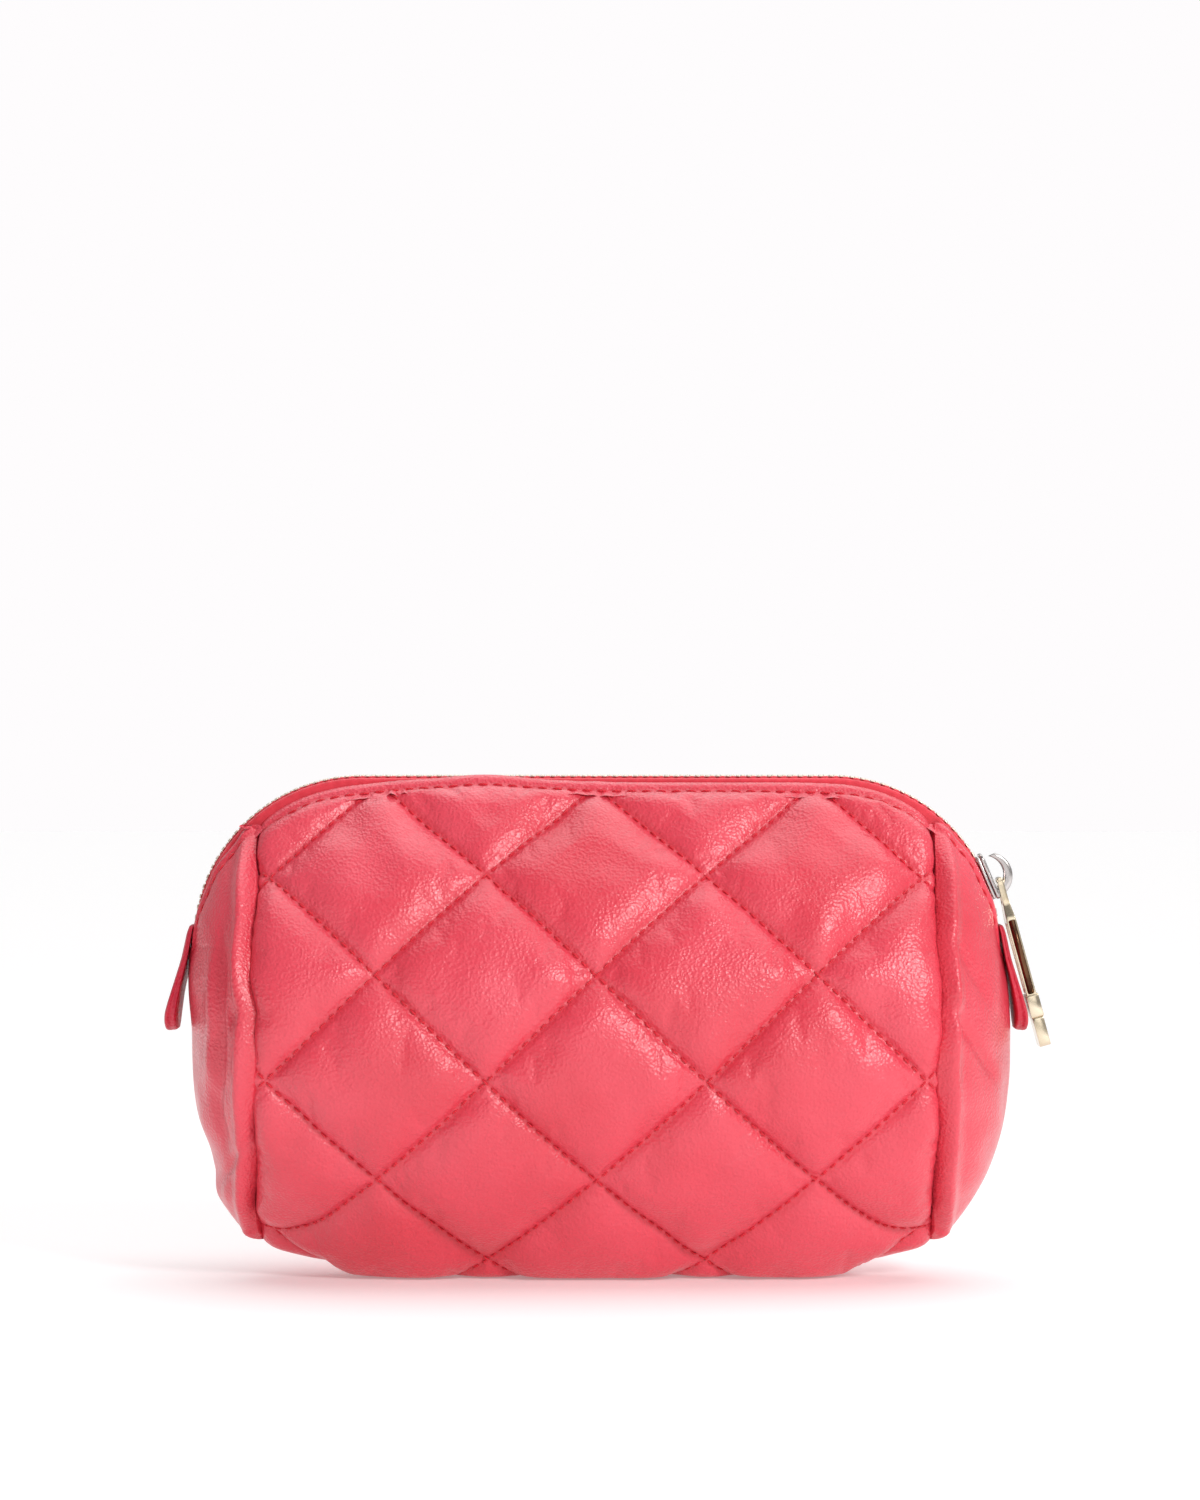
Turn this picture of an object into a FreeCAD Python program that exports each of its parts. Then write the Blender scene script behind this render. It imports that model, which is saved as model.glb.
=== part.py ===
"""A soft quilted makeup bag with a curved top zip, as a parametric FreeCAD document in millimetres.

The bag stands on the flat of its base at the origin. +X is its length, -Y its front and +Z is up.
The zip runs along the plane of Y = 0: down both shoulders on an arc, and straight between them.
"""
import FreeCAD
import Part
import math
import os

import Sketcher
from FreeCAD import Placement, Rotation, Vector

SIZES = [
    # the zip's line, which the whole bag is hung from
    ("zip_height", 122.0, "outer face of the closed teeth above the base"),
    ("shoulder_centre", 57.0, "centre of each shoulder arc from the middle of the bag"),
    ("shoulder_level", 81.0, "height of the arcs' centres, where the zip ends"),
    # the bag's outer form
    ("seam_half_length", 82.0, "end seams from the middle of the bag"),
    ("middle_half_depth", 38.0, "half the depth in the middle of the bag"),
    ("seam_half_depth", 33.5, "half the depth at an end seam"),
    ("widest_level", 60.0, "height where the bag is deepest"),
    ("mouth_half_width", 6.1, "leather edge from the zip's middle plane"),
    ("edge_drop", 2.4, "leather edge below the teeth's outer face"),
    ("edge_drop_at_end", 0.4, "the same where the zip ends"),
    ("base_half_width", 8.0, "half the width of the rounded keel at the base"),
    ("keel_half_width", 3.2, "the same at the end seams"),
    ("keel_start", 48.0, "where the base starts to rise, from the middle"),
    ("keel_rise", 10.0, "rise of the base at the end seams"),
    ("base_sag", 0.9, "how far the keel is pressed flat by what it stands on"),
    ("keel_power", 1.5, "how suddenly the base rises to the end seams"),
    ("keel_turn", 2.2, "height over the keel where the flank turns into it"),
    ("bulge_reach", 100.6, "widest point of the end gussets"),
    ("bulge_level", 61.0, "height of that point"),
    ("bulge_upper_curve", 0.0058, "how fast the gusset draws in above it, per mm"),
    ("bulge_lower_reach", 15.3, "how far the gusset draws in down to its tip"),
    ("bulge_lower_power", 2.9, "how suddenly it does so"),
    ("gusset_tip_level", 10.6, "lower tip of the gusset"),
    ("gusset_top_level", 109.0, "upper tip of the gusset"),
    ("edge_settle", 1.3, "how soon up the gusset its edge drops to the panel's, as a share"),
    # thicknesses of the layers
    ("leather_thickness", 1.2, "lambskin"),
    ("wadding_depth", 1.4, "outer face of the wadding under the leather's face"),
    ("wadding_thickness", 2.5, "quilting wadding"),
    ("wadding_margin", 12.0, "wadding stops this far below the leather edge"),
    ("lining_depth", 4.2, "outer face of the body lining under the leather's face"),
    ("lining_thickness", 0.5, "lining cloth"),
    ("layer_edge_drop", 0.7, "how far an inner layer's edge is lower, for each mm of its depth"),
    ("layer_end_gap", 0.4, "inner layers stop this far from the end seams"),
    ("end_lining_low", 16.6, "lower edge of the gusset lining"),
    ("end_lining_high", 98.0, "upper edge of the gusset lining"),
    ("end_lining_depth", 1.45, "outer face of the gusset lining under the leather's face"),
    ("end_lining_slot", 13.0, "half the gap in the gusset lining round the zip"),
    # the zip's chain: heights are below the teeth's outer face
    ("tooth_pitch", 2.5, "from tooth to tooth on one tape"),
    ("tooth_width", 1.0, "along the zip"),
    ("tooth_height", 2.6, "through the zip"),
    ("tooth_wall", 0.45, "metal above and below the cord"),
    ("tooth_outer", 3.1, "outer end of a tooth from the middle plane"),
    ("tooth_reach", 0.55, "head of a tooth past the middle plane"),
    ("tooth_notch", 1.0, "bottom of the notch that grips the cord"),
    ("cord_offset", 1.9, "cord from the middle plane"),
    ("cord_radius", 0.8, "corded edge of the tape"),
    ("tape_inner", 2.75, "woven tape from the middle plane"),
    ("tape_outer", 5.2, "where the tape turns down"),
    ("tape_thickness", 0.65, "woven tape"),
    ("tape_top", 0.95, "upper face of the tape"),
    ("tape_turn", 3.3, "where the tape starts to lean out under the leather"),
    ("tape_hem", 9.7, "lower edge of the tape"),
    ("tape_lean", 0.55, "how far the tape leans out for each mm down"),
    ("tape_slant", 0.39, "how much lower the leaning tape's inner face is than its outer one"),
    ("first_tooth", -113.0, "first front tooth, along the cord from the bag's middle"),
    ("last_tooth", 104.6, "no tooth beyond here"),
    ("parting_start", 57.8, "teeth from here on part round the slider"),
    ("bottom_stop_place", -116.0, "along the cord"),
    ("bottom_stop_width", 2.4, "along the zip"),
    ("top_stop_place", 111.9, "along the cord"),
    ("top_stop_width", 2.0, "along the zip"),
    ("top_stop_inner", 0.35, "inner face of a top stop from the middle plane"),
    # the slider, in its own frame: X along the zip, Z away from the bag
    ("slider_angle", 67.0, "slider's place on the right shoulder, from the top"),
    ("slider_half_length", 5.85, "half the plates' length"),
    ("slider_nose", 3.9, "half the plates' width behind"),
    ("slider_mouth", 4.3, "half the plates' width in front"),
    ("plate_gap_top", 0.15, "upper plate above the teeth"),
    ("plate_gap_low", 3.2, "lower plate under the teeth's outer face"),
    ("plate_thickness", 1.1, "each plate"),
    ("flange_inner", 3.3, "inner face of the plates' side lips"),
    ("flange_top_drop", 0.7, "height of the upper lips"),
    ("flange_low_rise", 0.85, "height of the lower lips"),
    ("wedge_tail", 1.9, "back of the wedge that parts the teeth"),
    ("wedge_half_width", 1.0, "half the wedge's width"),
    ("wedge_point", 3.5, "where the wedge's point reaches its full width"),
    ("bridge_half_width", 1.1, "half the width of the bridge over the pull"),
    ("bridge_foot_outer", 5.75, "foot of the bridge, outside"),
    ("bridge_foot_inner", 4.2, "foot of the bridge, inside"),
    ("bridge_tip_back", 4.6, "open tip of the bridge, behind the middle"),
    ("bridge_tip_high", 4.3, "its height, outside"),
    ("bridge_tip_low", 2.75, "its height, inside"),
    ("bridge_outer_radius", 5.75, "outside of the bridge's curve"),
    ("bridge_inner_radius", 5.0, "inside of the bridge's curve"),
    # the pull, in its own frame: X along the pull, Z through it
    ("pull_pin_along", 2.0, "pull's pin in front of the slider's middle"),
    ("pull_pin_height", 2.75, "pull's pin over the teeth's outer face"),
    ("pull_tilt", 15.3, "pull's lean from straight down"),
    ("pull_pin_radius", 0.85, "round end bar of the eye"),
    ("eye_half_width", 2.9, "half the eye's width"),
    ("eye_gap", 1.5, "half the eye's opening"),
    ("eye_end", 6.0, "end of the eye's opening from the pin"),
    ("eye_thickness", 1.7, "through the eye and neck"),
    ("pull_shoulder", 9.0, "where the pull reaches its full width"),
    ("pull_half_width", 4.2, "half the pull's width"),
    ("pull_thickness", 2.35, "through the rails"),
    ("window_start", 10.5, "open slot between the rails"),
    ("window_end", 28.0, "end of that slot"),
    ("window_half_width", 2.3, "half the slot's width"),
    ("cuff_start", 28.6, "raised cuff"),
    ("cuff_end", 34.2, "end of the cuff"),
    ("cuff_half_width", 4.5, "half the cuff's width"),
    ("cuff_thickness", 3.1, "through the cuff"),
    ("pull_end", 41.5, "end of the pull from its pin"),
    ("block_thickness", 2.7, "through the solid end"),
    # the leather tabs over the zip's ends
    ("tab_half_width", 9.0, "half a tab's width"),
    ("tab_top", 84.5, "above the tab's sewn end"),
    ("tab_round_start", 66.3, "where the tab's round end starts"),
    ("tab_end_radius", 9.6, "radius of that end"),
]

# a tab from the side, as (out from the bag's middle, height): down its inner face, up its outer one
TAB_FACING_GUSSET = [(98.3, 83.4), (99.2, 77.5), (100.6, 70.0), (102.0, 61.0)]
TAB_FACING_OUT = [(104.3, 60.0), (104.8, 62.6), (102.4, 71.5), (100.6, 78.0), (99.5, 83.8)]

document = FreeCAD.newDocument("makeup_bag")
sheet = document.addObject("Spreadsheet::Sheet", "sizes")
for number, (alias, length, meaning) in enumerate(SIZES, start=1):
    sheet.set(f"A{number}", meaning)
    sheet.set(f"B{number}", str(length))
    sheet.setAlias(f"B{number}", alias)
document.recompute()

SIDES = {"front": -1, "rear": 1}
ENDS = {"left": -1, "right": 1}
nodes = []


def size(alias):
    """A driving dimension, read from the sheet."""
    return float(sheet.get(alias))


def value(expression):
    """What an expression over the sheet's aliases comes to."""
    return float(sheet.evalExpression(expression))


def node(thing, label):
    """Marks a document object as one sub-part, under the name that its file takes."""
    thing.Label = label
    nodes.append(thing)
    return thing


# ---------------------------------------------------------------- sketches and solids

def plane(body, role):
    return next(item for item in body.Origin.OriginFeatures if item.Role == role)


def new_sketch(body, name, role, offset=""):
    """A sketch on one of the body's own origin planes, lifted off it by an expression."""
    sketch = body.newObject("Sketcher::SketchObject", name)
    sketch.AttachmentSupport = [(plane(body, role), "")]
    sketch.MapMode = "FlatFace"
    if offset:
        sketch.setExpression("AttachmentOffset.Base.z", offset)
    return sketch


def pin_point(sketch, edge, point, across, up):
    """Holds a point of a sketch at two expressions from the sketch's origin."""
    for kind, expression in (("DistanceX", across), ("DistanceY", up)):
        held = Sketcher.Constraint(kind, -1, 1, edge, point, value(expression))
        sketch.setExpression(f"Constraints[{sketch.addConstraint(held)}]", expression)


def corner_point(corner):
    return Vector(value(corner[0]), value(corner[1]), 0)


def outline_sketch(body, name, role, corners, offset="", bends=None):
    """A closed outline through corners given as pairs of expressions.

    bends maps the number of a side to (radius expression, turns left): that side is an arc.
    """
    sketch = new_sketch(body, name, role, offset)
    bends = bends or {}
    count = len(corners)
    for side in range(count):
        start = corner_point(corners[side])
        end = corner_point(corners[(side + 1) % count])
        if side in bends:
            sketch.addGeometry(bent_side(start, end, *bends[side]))
        else:
            sketch.addGeometry(Part.LineSegment(start, end))
    for side in range(count):
        after = (side + 1) % count
        end_point = 1 if side in bends and not bends[side][1] else 2
        next_point = 2 if after in bends and not bends[after][1] else 1
        sketch.addConstraint(Sketcher.Constraint("Coincident", side, end_point, after, next_point))
    for side, (across, up) in enumerate(corners):
        pin_point(sketch, side, 2 if side in bends and not bends[side][1] else 1, across, up)
    for side, (radius, _) in bends.items():
        held = Sketcher.Constraint("Radius", side, value(radius))
        sketch.setExpression(f"Constraints[{sketch.addConstraint(held)}]", radius)
    return sketch


def bent_side(start, end, radius, turns_left):
    """The short arc from start to end, bulging right of its way if it turns left."""
    chord = end - start
    reach = value(radius)
    drop = math.sqrt(reach ** 2 - (chord.Length / 2) ** 2)
    to_left = Vector(-chord.y, chord.x, 0).normalize()
    centre = (start + end) * 0.5 + to_left * (drop if turns_left else -drop)
    first, last = (start, end) if turns_left else (end, start)
    circle = Part.Circle(centre, Vector(0, 0, 1), reach)
    angles = [math.atan2(point.y - centre.y, point.x - centre.x) for point in (first, last)]
    return Part.ArcOfCircle(circle, angles[0], angles[1])


def new_body(name):
    return document.addObject("PartDesign::Body", name)


def pad(body, sketch, name, length, both_ways=False):
    """Extrudes a sketch by an expression, from its plane or to both sides of it."""
    solid = body.newObject("PartDesign::Pad", name)
    solid.Profile = sketch
    solid.Midplane = both_ways
    solid.setExpression("Length", length)
    return solid


def box_corners(left, right, low, high):
    return [(left, low), (right, low), (right, high), (left, high)]


# ---------------------------------------------------------------- the bag's outer form

def edge_height(x):
    """Height of the leather's edge along the zip, over the panel."""
    along = max(abs(x) - size("shoulder_centre"), 0.0)
    reach = size("zip_height") - size("shoulder_level") - size("edge_drop")
    return size("shoulder_level") + math.sqrt(reach ** 2 - along ** 2)


def keel_height(x):
    """Height of the base's middle line: flat in the middle, and drawn up to the end seams."""
    span = size("seam_half_length") - size("keel_start")
    share = max(abs(x) - size("keel_start"), 0.0) / span
    return size("keel_rise") * share ** size("keel_power")


def half_depth(x, z):
    """Half the bag's depth at a height: a parabola each way from its deepest level."""
    share = (x / size("seam_half_length")) ** 2
    deepest = size("middle_half_depth") + (size("seam_half_depth") - size("middle_half_depth")) * share
    level = size("widest_level")
    if z > level:
        least, limit = size("mouth_half_width"), edge_height(x)
    else:
        least = size("base_half_width") + (size("keel_half_width") - size("base_half_width")) * share
        limit = keel_height(x)
    return deepest - (deepest - least) * ((z - level) / (limit - level)) ** 2


def flank_point(x, z, depth):
    """A point of the rear flank, a given depth under its face, as (y, z)."""
    step = 0.01
    lean = (half_depth(x, z + step) - half_depth(x, z - step)) / (2 * step)
    return half_depth(x, z) - depth * math.hypot(1, lean), z


def hem_height(x):
    """Height just under the zip tape's lower edge, where the lining starts."""
    along = max(abs(x) - size("shoulder_centre"), 0.0)
    reach = size("zip_height") - size("shoulder_level") - size("tape_hem") - size("tape_thickness")
    return size("shoulder_level") + math.sqrt(reach ** 2 - along ** 2)


def section_curve(x, depth, top_edge):
    """The bag's outline across X at a depth under its face, from the front edge to the rear."""
    top = top_edge(x) - size("layer_edge_drop") * depth
    low = keel_height(x) + depth + size("keel_turn")
    steps = 9
    rear = [flank_point(x, low + (top - low) * k / steps, depth) for k in range(steps + 1)]
    keel = (0.0, keel_height(x) + depth - size("base_sag"))
    around = [(-y, z) for y, z in reversed(rear)] + [keel] + rear
    curve = Part.BSplineCurve()
    curve.interpolate([Vector(x, y, z) for y, z in around])
    return curve


def ring_wire(outer, inner):
    """Two open curves side by side, closed at their ends."""
    starts = Part.makeLine(inner.StartPoint, outer.StartPoint)
    ends = Part.makeLine(outer.EndPoint, inner.EndPoint)
    return Part.Wire([outer.toShape(), ends, inner.toShape(), starts])


def body_layer(label, depth, thickness, top_edge, half_length, internal=""):
    """One layer of the panel that runs from the front edge under the bag to the rear edge."""
    shares = [-1, -0.92, -0.82, -0.7, -0.5, 0, 0.5, 0.7, 0.82, 0.92, 1]
    wires = []
    for share in shares:
        x = share * half_length
        outer = section_curve(x, depth, top_edge)
        inner = section_curve(x, depth + thickness, top_edge)
        wires.append(ring_wire(outer, inner))
    layer = document.addObject("Part::Feature", internal or label)
    layer.Shape = Part.makeLoft(wires, True, False)
    return layer


def make_quilted_shell():
    """Front, base and rear in one piece of leather, pressed flat where it stands."""
    below = 10
    whole = body_layer("quilted_shell", 0.0, size("leather_thickness"), edge_height,
                       size("seam_half_length"), "shell_form")
    ground = document.addObject("Part::Box", "ground")
    ground.setExpression("Length", "2 * sizes.seam_half_length")
    ground.setExpression("Width", "2 * sizes.middle_half_depth")
    ground.Height = below
    ground.setExpression("Placement.Base.x", "-sizes.seam_half_length")
    ground.setExpression("Placement.Base.y", "-sizes.middle_half_depth")
    ground.setExpression("Placement.Base.z", f"-{below}")
    cut = document.addObject("Part::Cut", "shell_on_ground")
    cut.Base = whole
    cut.Tool = ground
    node(cut, "quilted_shell")


def make_inner_layers():
    half_length = size("seam_half_length") - size("layer_end_gap")
    node(body_layer("quilt_wadding", size("wadding_depth"), size("wadding_thickness"),
                    lambda x: edge_height(x) - size("wadding_margin"), half_length), "quilt_wadding")
    node(body_layer("body_lining", size("lining_depth"), size("lining_thickness"),
                    hem_height, half_length), "body_lining")


# ---------------------------------------------------------------- end gussets

def gusset_reach(z):
    """How far out the gusset is in its middle, at a height."""
    seam = size("seam_half_length")
    if z <= size("bulge_level"):
        drop = size("bulge_level") - size("gusset_tip_level")
        share = (size("bulge_level") - z) / drop
        return size("bulge_reach") - size("bulge_lower_reach") * share ** size("bulge_lower_power")
    if z <= size("shoulder_level"):
        return size("bulge_reach") - size("bulge_upper_curve") * (z - size("bulge_level")) ** 2
    full = size("zip_height") - size("shoulder_level")
    up = z - size("shoulder_level")
    share = up / full
    settled = min(size("edge_settle") * share, 1)
    drop = size("edge_drop_at_end") + (size("edge_drop") - size("edge_drop_at_end")) * settled
    edge = size("shoulder_centre") + math.sqrt((full - drop) ** 2 - up ** 2)
    beside = (size("mouth_half_width") / half_depth(seam, z)) ** 2
    return seam + (edge - seam) / (1 - beside)


def gusset_wire(end, z, depth, thickness):
    """A level slice of a gusset: two arcs side by side from the front seam to the rear seam."""
    seam = size("seam_half_length")
    edges = []
    for under in (depth, depth + thickness):
        side, _ = flank_point(seam, z, under)
        middle = Vector(end * (gusset_reach(z) - under), 0, z)
        points = [Vector(end * seam, -side, z), middle, Vector(end * seam, side, z)]
        edges.append((Part.Arc(*points).toShape(), points[0], points[2]))
    (outer, outer_start, outer_end), (inner, inner_start, inner_end) = edges
    return Part.Wire([outer, Part.makeLine(outer_end, inner_end), inner,
                      Part.makeLine(inner_start, outer_start)])


def gusset_layer(label, end, depth, thickness, low, high, slot_half_width):
    """A bulging end layer with a slot for the zip in its upper half."""
    steps = 12
    levels = [low + (high - low) * k / steps for k in range(steps + 1)]
    form = document.addObject("Part::Feature", label + "_form")
    form.Shape = Part.makeLoft([gusset_wire(end, z, depth, thickness) for z in levels], True, False)
    slot = document.addObject("Part::Box", label + "_slot")
    slot.setExpression("Length", "2 * sizes.bulge_reach")
    slot.setExpression("Width", f"2 * {slot_half_width}")
    slot.setExpression("Height", "sizes.zip_height")
    slot.setExpression("Placement.Base.x", "-sizes.bulge_reach")
    slot.setExpression("Placement.Base.y", f"-({slot_half_width})")
    slot.setExpression("Placement.Base.z", "sizes.shoulder_level")
    cut = document.addObject("Part::Cut", label + "_cut")
    cut.Base = form
    cut.Tool = slot
    node(cut, label)


def make_gussets():
    for name, end in ENDS.items():
        gusset_layer(f"{name}_gusset", end, 0.0, size("leather_thickness"),
                     size("gusset_tip_level"), size("gusset_top_level"), "sizes.mouth_half_width")
        gusset_layer(f"{name}_gusset_lining", end, size("end_lining_depth"), size("lining_thickness"),
                     size("end_lining_low"), size("end_lining_high"), "sizes.end_lining_slot")


# ---------------------------------------------------------------- the zip's chain

def zip_spine(body, inset):
    """The zip's line, at an inset towards the bag: an arc, a straight and an arc."""
    sketch = new_sketch(body, "zip_line_" + body.Name, "XZ_Plane")
    middle = value("sizes.shoulder_centre")
    level = value("sizes.shoulder_level")
    radius = f"sizes.zip_height - sizes.shoulder_level - {inset}"
    reach = value(radius)
    quarter = math.pi / 2
    arcs = [(-middle, quarter, 2 * quarter), (middle, 0.0, quarter)]
    for x, start, end in arcs:
        circle = Part.Circle(Vector(x, level, 0), Vector(0, 0, 1), reach)
        sketch.addGeometry(Part.ArcOfCircle(circle, start, end))
    sketch.addGeometry(Part.LineSegment(Vector(-middle, level + reach, 0), Vector(middle, level + reach, 0)))
    for arc, sign, level_point, top_point in ((0, "-", 2, 1), (1, "", 1, 2)):
        pin_point(sketch, arc, 3, sign + "sizes.shoulder_centre", "sizes.shoulder_level")
        held = Sketcher.Constraint("Radius", arc, reach)
        sketch.setExpression(f"Constraints[{sketch.addConstraint(held)}]", radius)
        sketch.addConstraint(Sketcher.Constraint("Horizontal", arc, level_point, arc, 3))
        sketch.addConstraint(Sketcher.Constraint("Vertical", arc, top_point, arc, 3))
    sketch.addConstraint(Sketcher.Constraint("Coincident", 2, 1, 0, 1))
    sketch.addConstraint(Sketcher.Constraint("Coincident", 2, 2, 1, 2))
    return sketch


def sweep(body, profile, spine):
    pipe = body.newObject("PartDesign::AdditivePipe", "run_" + body.Name)
    pipe.Profile = profile
    pipe.Spine = (spine, ["Edge1", "Edge2", "Edge3"])
    return pipe


def end_place(under):
    """X of a point of the zip at its left end, from its depth under the teeth's face."""
    return f"-(sizes.shoulder_centre + sizes.zip_height - sizes.shoulder_level - ({under}))"


def make_tape(side_name, side):
    """Woven tape: flat beside the teeth, then turned down and out under the leather."""
    body = new_body(f"{side_name}_zip_tape")
    sign = "-" if side < 0 else ""
    top = "sizes.tape_top"
    low = "sizes.tape_top + sizes.tape_thickness"
    hem = "sizes.tape_hem"
    lean = "sizes.tape_lean * (sizes.tape_hem - sizes.tape_turn)"
    inner_turn = "sizes.tape_outer - sizes.tape_thickness"
    corners = [
        (top, "sizes.tape_inner"), (top, "sizes.tape_outer"),
        ("sizes.tape_turn", "sizes.tape_outer"), (hem, f"sizes.tape_outer + {lean}"),
        (f"{hem} + sizes.tape_slant", f"{inner_turn} + {lean}"),
        ("sizes.tape_turn + sizes.tape_slant", inner_turn),
        (low, inner_turn), (low, "sizes.tape_inner"),
    ]
    section = [(end_place(under), f"{sign}({away})") for under, away in corners]
    profile = outline_sketch(body, f"{side_name}_tape_section", "XY_Plane", section, "sizes.shoulder_level")
    sweep(body, profile, zip_spine(body, "0.0"))
    node(body, f"{side_name}_zip_tape")


def make_cord(side_name, side):
    """The corded edge that the teeth are clamped on."""
    body = new_body(f"{side_name}_tape_cord")
    sign = "-" if side < 0 else ""
    across = end_place("0.5 * sizes.tooth_height")
    up = f"{sign}sizes.cord_offset"
    sketch = new_sketch(body, f"{side_name}_cord_section", "XY_Plane", "sizes.shoulder_level")
    sketch.addGeometry(Part.Circle(Vector(value(across), value(up), 0), Vector(0, 0, 1), size("cord_radius")))
    pin_point(sketch, 0, 3, across, up)
    held = Sketcher.Constraint("Radius", 0, size("cord_radius"))
    sketch.setExpression(f"Constraints[{sketch.addConstraint(held)}]", "sizes.cord_radius")
    sweep(body, sketch, zip_spine(body, "0.5 * sizes.tooth_height"))
    node(body, f"{side_name}_tape_cord")


def zip_placement(along):
    """Where a thing sits on the zip, from its place along the cord: X along the zip, Z outwards."""
    centre = size("shoulder_centre")
    radius = size("zip_height") - size("shoulder_level")
    cord_radius = radius - 0.5 * size("tooth_height")
    past = max(abs(along) - centre, 0.0)
    angle = math.copysign(past / cord_radius, along)
    x = math.copysign(min(abs(along), centre), along) + radius * math.sin(angle)
    z = size("shoulder_level") + radius * math.cos(angle)
    return Placement(Vector(x, 0, z), Rotation(Vector(0, 1, 0), math.degrees(angle)))


def clamp_body(name, inner, width):
    """A U of metal clamped on a cord: its head is towards the middle plane, its notch away."""
    body = new_body(name)
    wall, height = "sizes.tooth_wall", "sizes.tooth_height"
    corners = [
        (inner, f"-{height}"), ("sizes.tooth_outer", f"-{height}"),
        ("sizes.tooth_outer", f"-{height} + {wall}"), ("sizes.tooth_notch", f"-{height} + {wall}"),
        ("sizes.tooth_notch", f"-{wall}"), ("sizes.tooth_outer", f"-{wall}"),
        ("sizes.tooth_outer", "0"), (inner, "0"),
    ]
    sketch = outline_sketch(body, name + "_section", "YZ_Plane", corners)
    pad(body, sketch, name + "_width", width, both_ways=True)
    return body


def along_zip(label, master, places, side):
    """Copies of a clamped piece at places along the zip, as one group of separate solids."""
    turn = Placement() if side > 0 else Placement(Vector(), Rotation(Vector(0, 0, 1), 180))
    copies = []
    for along in places:
        copy = master.Shape.copy()
        copy.Placement = zip_placement(along).multiply(turn)
        copies.append(copy)
    group = document.addObject("Part::Feature", label)
    group.Shape = Part.makeCompound(copies) if len(copies) > 1 else copies[0]
    node(group, label)


def tooth_places(side):
    """The teeth's places along the cord; the rear row stands half a pitch further on."""
    pitch = size("tooth_pitch")
    place = size("first_tooth") + (pitch / 2 if side > 0 else 0.0)
    places = []
    while place <= size("last_tooth"):
        places.append(place)
        place += pitch
    return places


def make_chain():
    tooth = clamp_body("tooth", "-sizes.tooth_reach", "sizes.tooth_width")
    stop = clamp_body("top_stop", "sizes.top_stop_inner", "sizes.top_stop_width")
    document.recompute()
    parting = size("parting_start")
    for side_name, side in SIDES.items():
        make_tape(side_name, side)
        make_cord(side_name, side)
        places = tooth_places(side)
        along_zip(f"{side_name}_teeth", tooth, [p for p in places if p < parting], side)
        along_zip(f"{side_name}_shoulder_teeth", tooth, [p for p in places if p >= parting], side)
        along_zip(f"{side_name}_top_stop", stop, [size("top_stop_place")], side)


def make_bottom_stop():
    """One staple of metal over both cords where the chain starts."""
    body = new_body("bottom_stop")
    wide, web = "sizes.tooth_outer", "sizes.tooth_notch"
    top, low = "sizes.tooth_wall", "sizes.tooth_height - sizes.tooth_wall"
    right = [(wide, "-sizes.tooth_height"), (wide, f"-({low})"), (web, f"-({low})"),
             (web, f"-{top}"), (wide, f"-{top}"), (wide, "0")]
    left = [(f"-{across}", up) for across, up in reversed(right)]
    sketch = outline_sketch(body, "bottom_stop_section", "YZ_Plane", right + left)
    pad(body, sketch, "bottom_stop_width", "sizes.bottom_stop_width", both_ways=True)
    body.Placement = zip_placement(size("bottom_stop_place"))
    node(body, "bottom_stop")


# ---------------------------------------------------------------- the slider and its pull

def slider_placement():
    radius = size("zip_height") - size("shoulder_level")
    angle = math.radians(size("slider_angle"))
    place = Vector(size("shoulder_centre") + radius * math.sin(angle), 0,
                   size("shoulder_level") + radius * math.cos(angle))
    return Placement(place, Rotation(Vector(0, 1, 0), size("slider_angle")))


def make_slider_body():
    """Two plates round the teeth, joined in front by the wedge, with a lip along each side."""
    body = new_body("slider_body")
    back, front = "-sizes.slider_half_length", "sizes.slider_half_length"
    nose, mouth = "sizes.slider_nose", "sizes.slider_mouth"
    plates = [(back, f"-{nose}"), (front, f"-{mouth}"), (front, mouth), (back, nose)]
    low_face = "-(sizes.plate_gap_low + sizes.plate_thickness)"
    low = outline_sketch(body, "lower_plate_outline", "XY_Plane", plates, low_face)
    pad(body, low, "lower_plate", "sizes.plate_thickness")
    wedge_corners = [("sizes.wedge_tail", "0"), ("sizes.wedge_point", "-sizes.wedge_half_width"),
                     (front, "-sizes.wedge_half_width"), (front, "sizes.wedge_half_width"),
                     ("sizes.wedge_point", "sizes.wedge_half_width")]
    wedge = outline_sketch(body, "wedge_outline", "XY_Plane", wedge_corners, low_face)
    pad(body, wedge, "wedge", "sizes.plate_gap_low + 1.5 * sizes.plate_thickness + sizes.plate_gap_top")
    top = outline_sketch(body, "upper_plate_outline", "XY_Plane", plates, "sizes.plate_gap_top")
    pad(body, top, "upper_plate", "sizes.plate_thickness")
    for side_name, sign in (("front", "-"), ("rear", "")):
        lip = [(back, f"{sign}sizes.flange_inner"), (front, f"{sign}sizes.flange_inner"),
               (front, sign + mouth), (back, sign + nose)]
        if sign:
            lip.reverse()
        upper = outline_sketch(body, f"{side_name}_upper_lip_outline", "XY_Plane", lip,
                               "sizes.plate_gap_top - sizes.flange_top_drop")
        pad(body, upper, f"{side_name}_upper_lip", "sizes.flange_top_drop")
        lower = outline_sketch(body, f"{side_name}_lower_lip_outline", "XY_Plane", lip,
                               "-sizes.plate_gap_low")
        pad(body, lower, f"{side_name}_lower_lip", "sizes.flange_low_rise")
    body.Placement = slider_placement()
    node(body, "slider_body")


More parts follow.
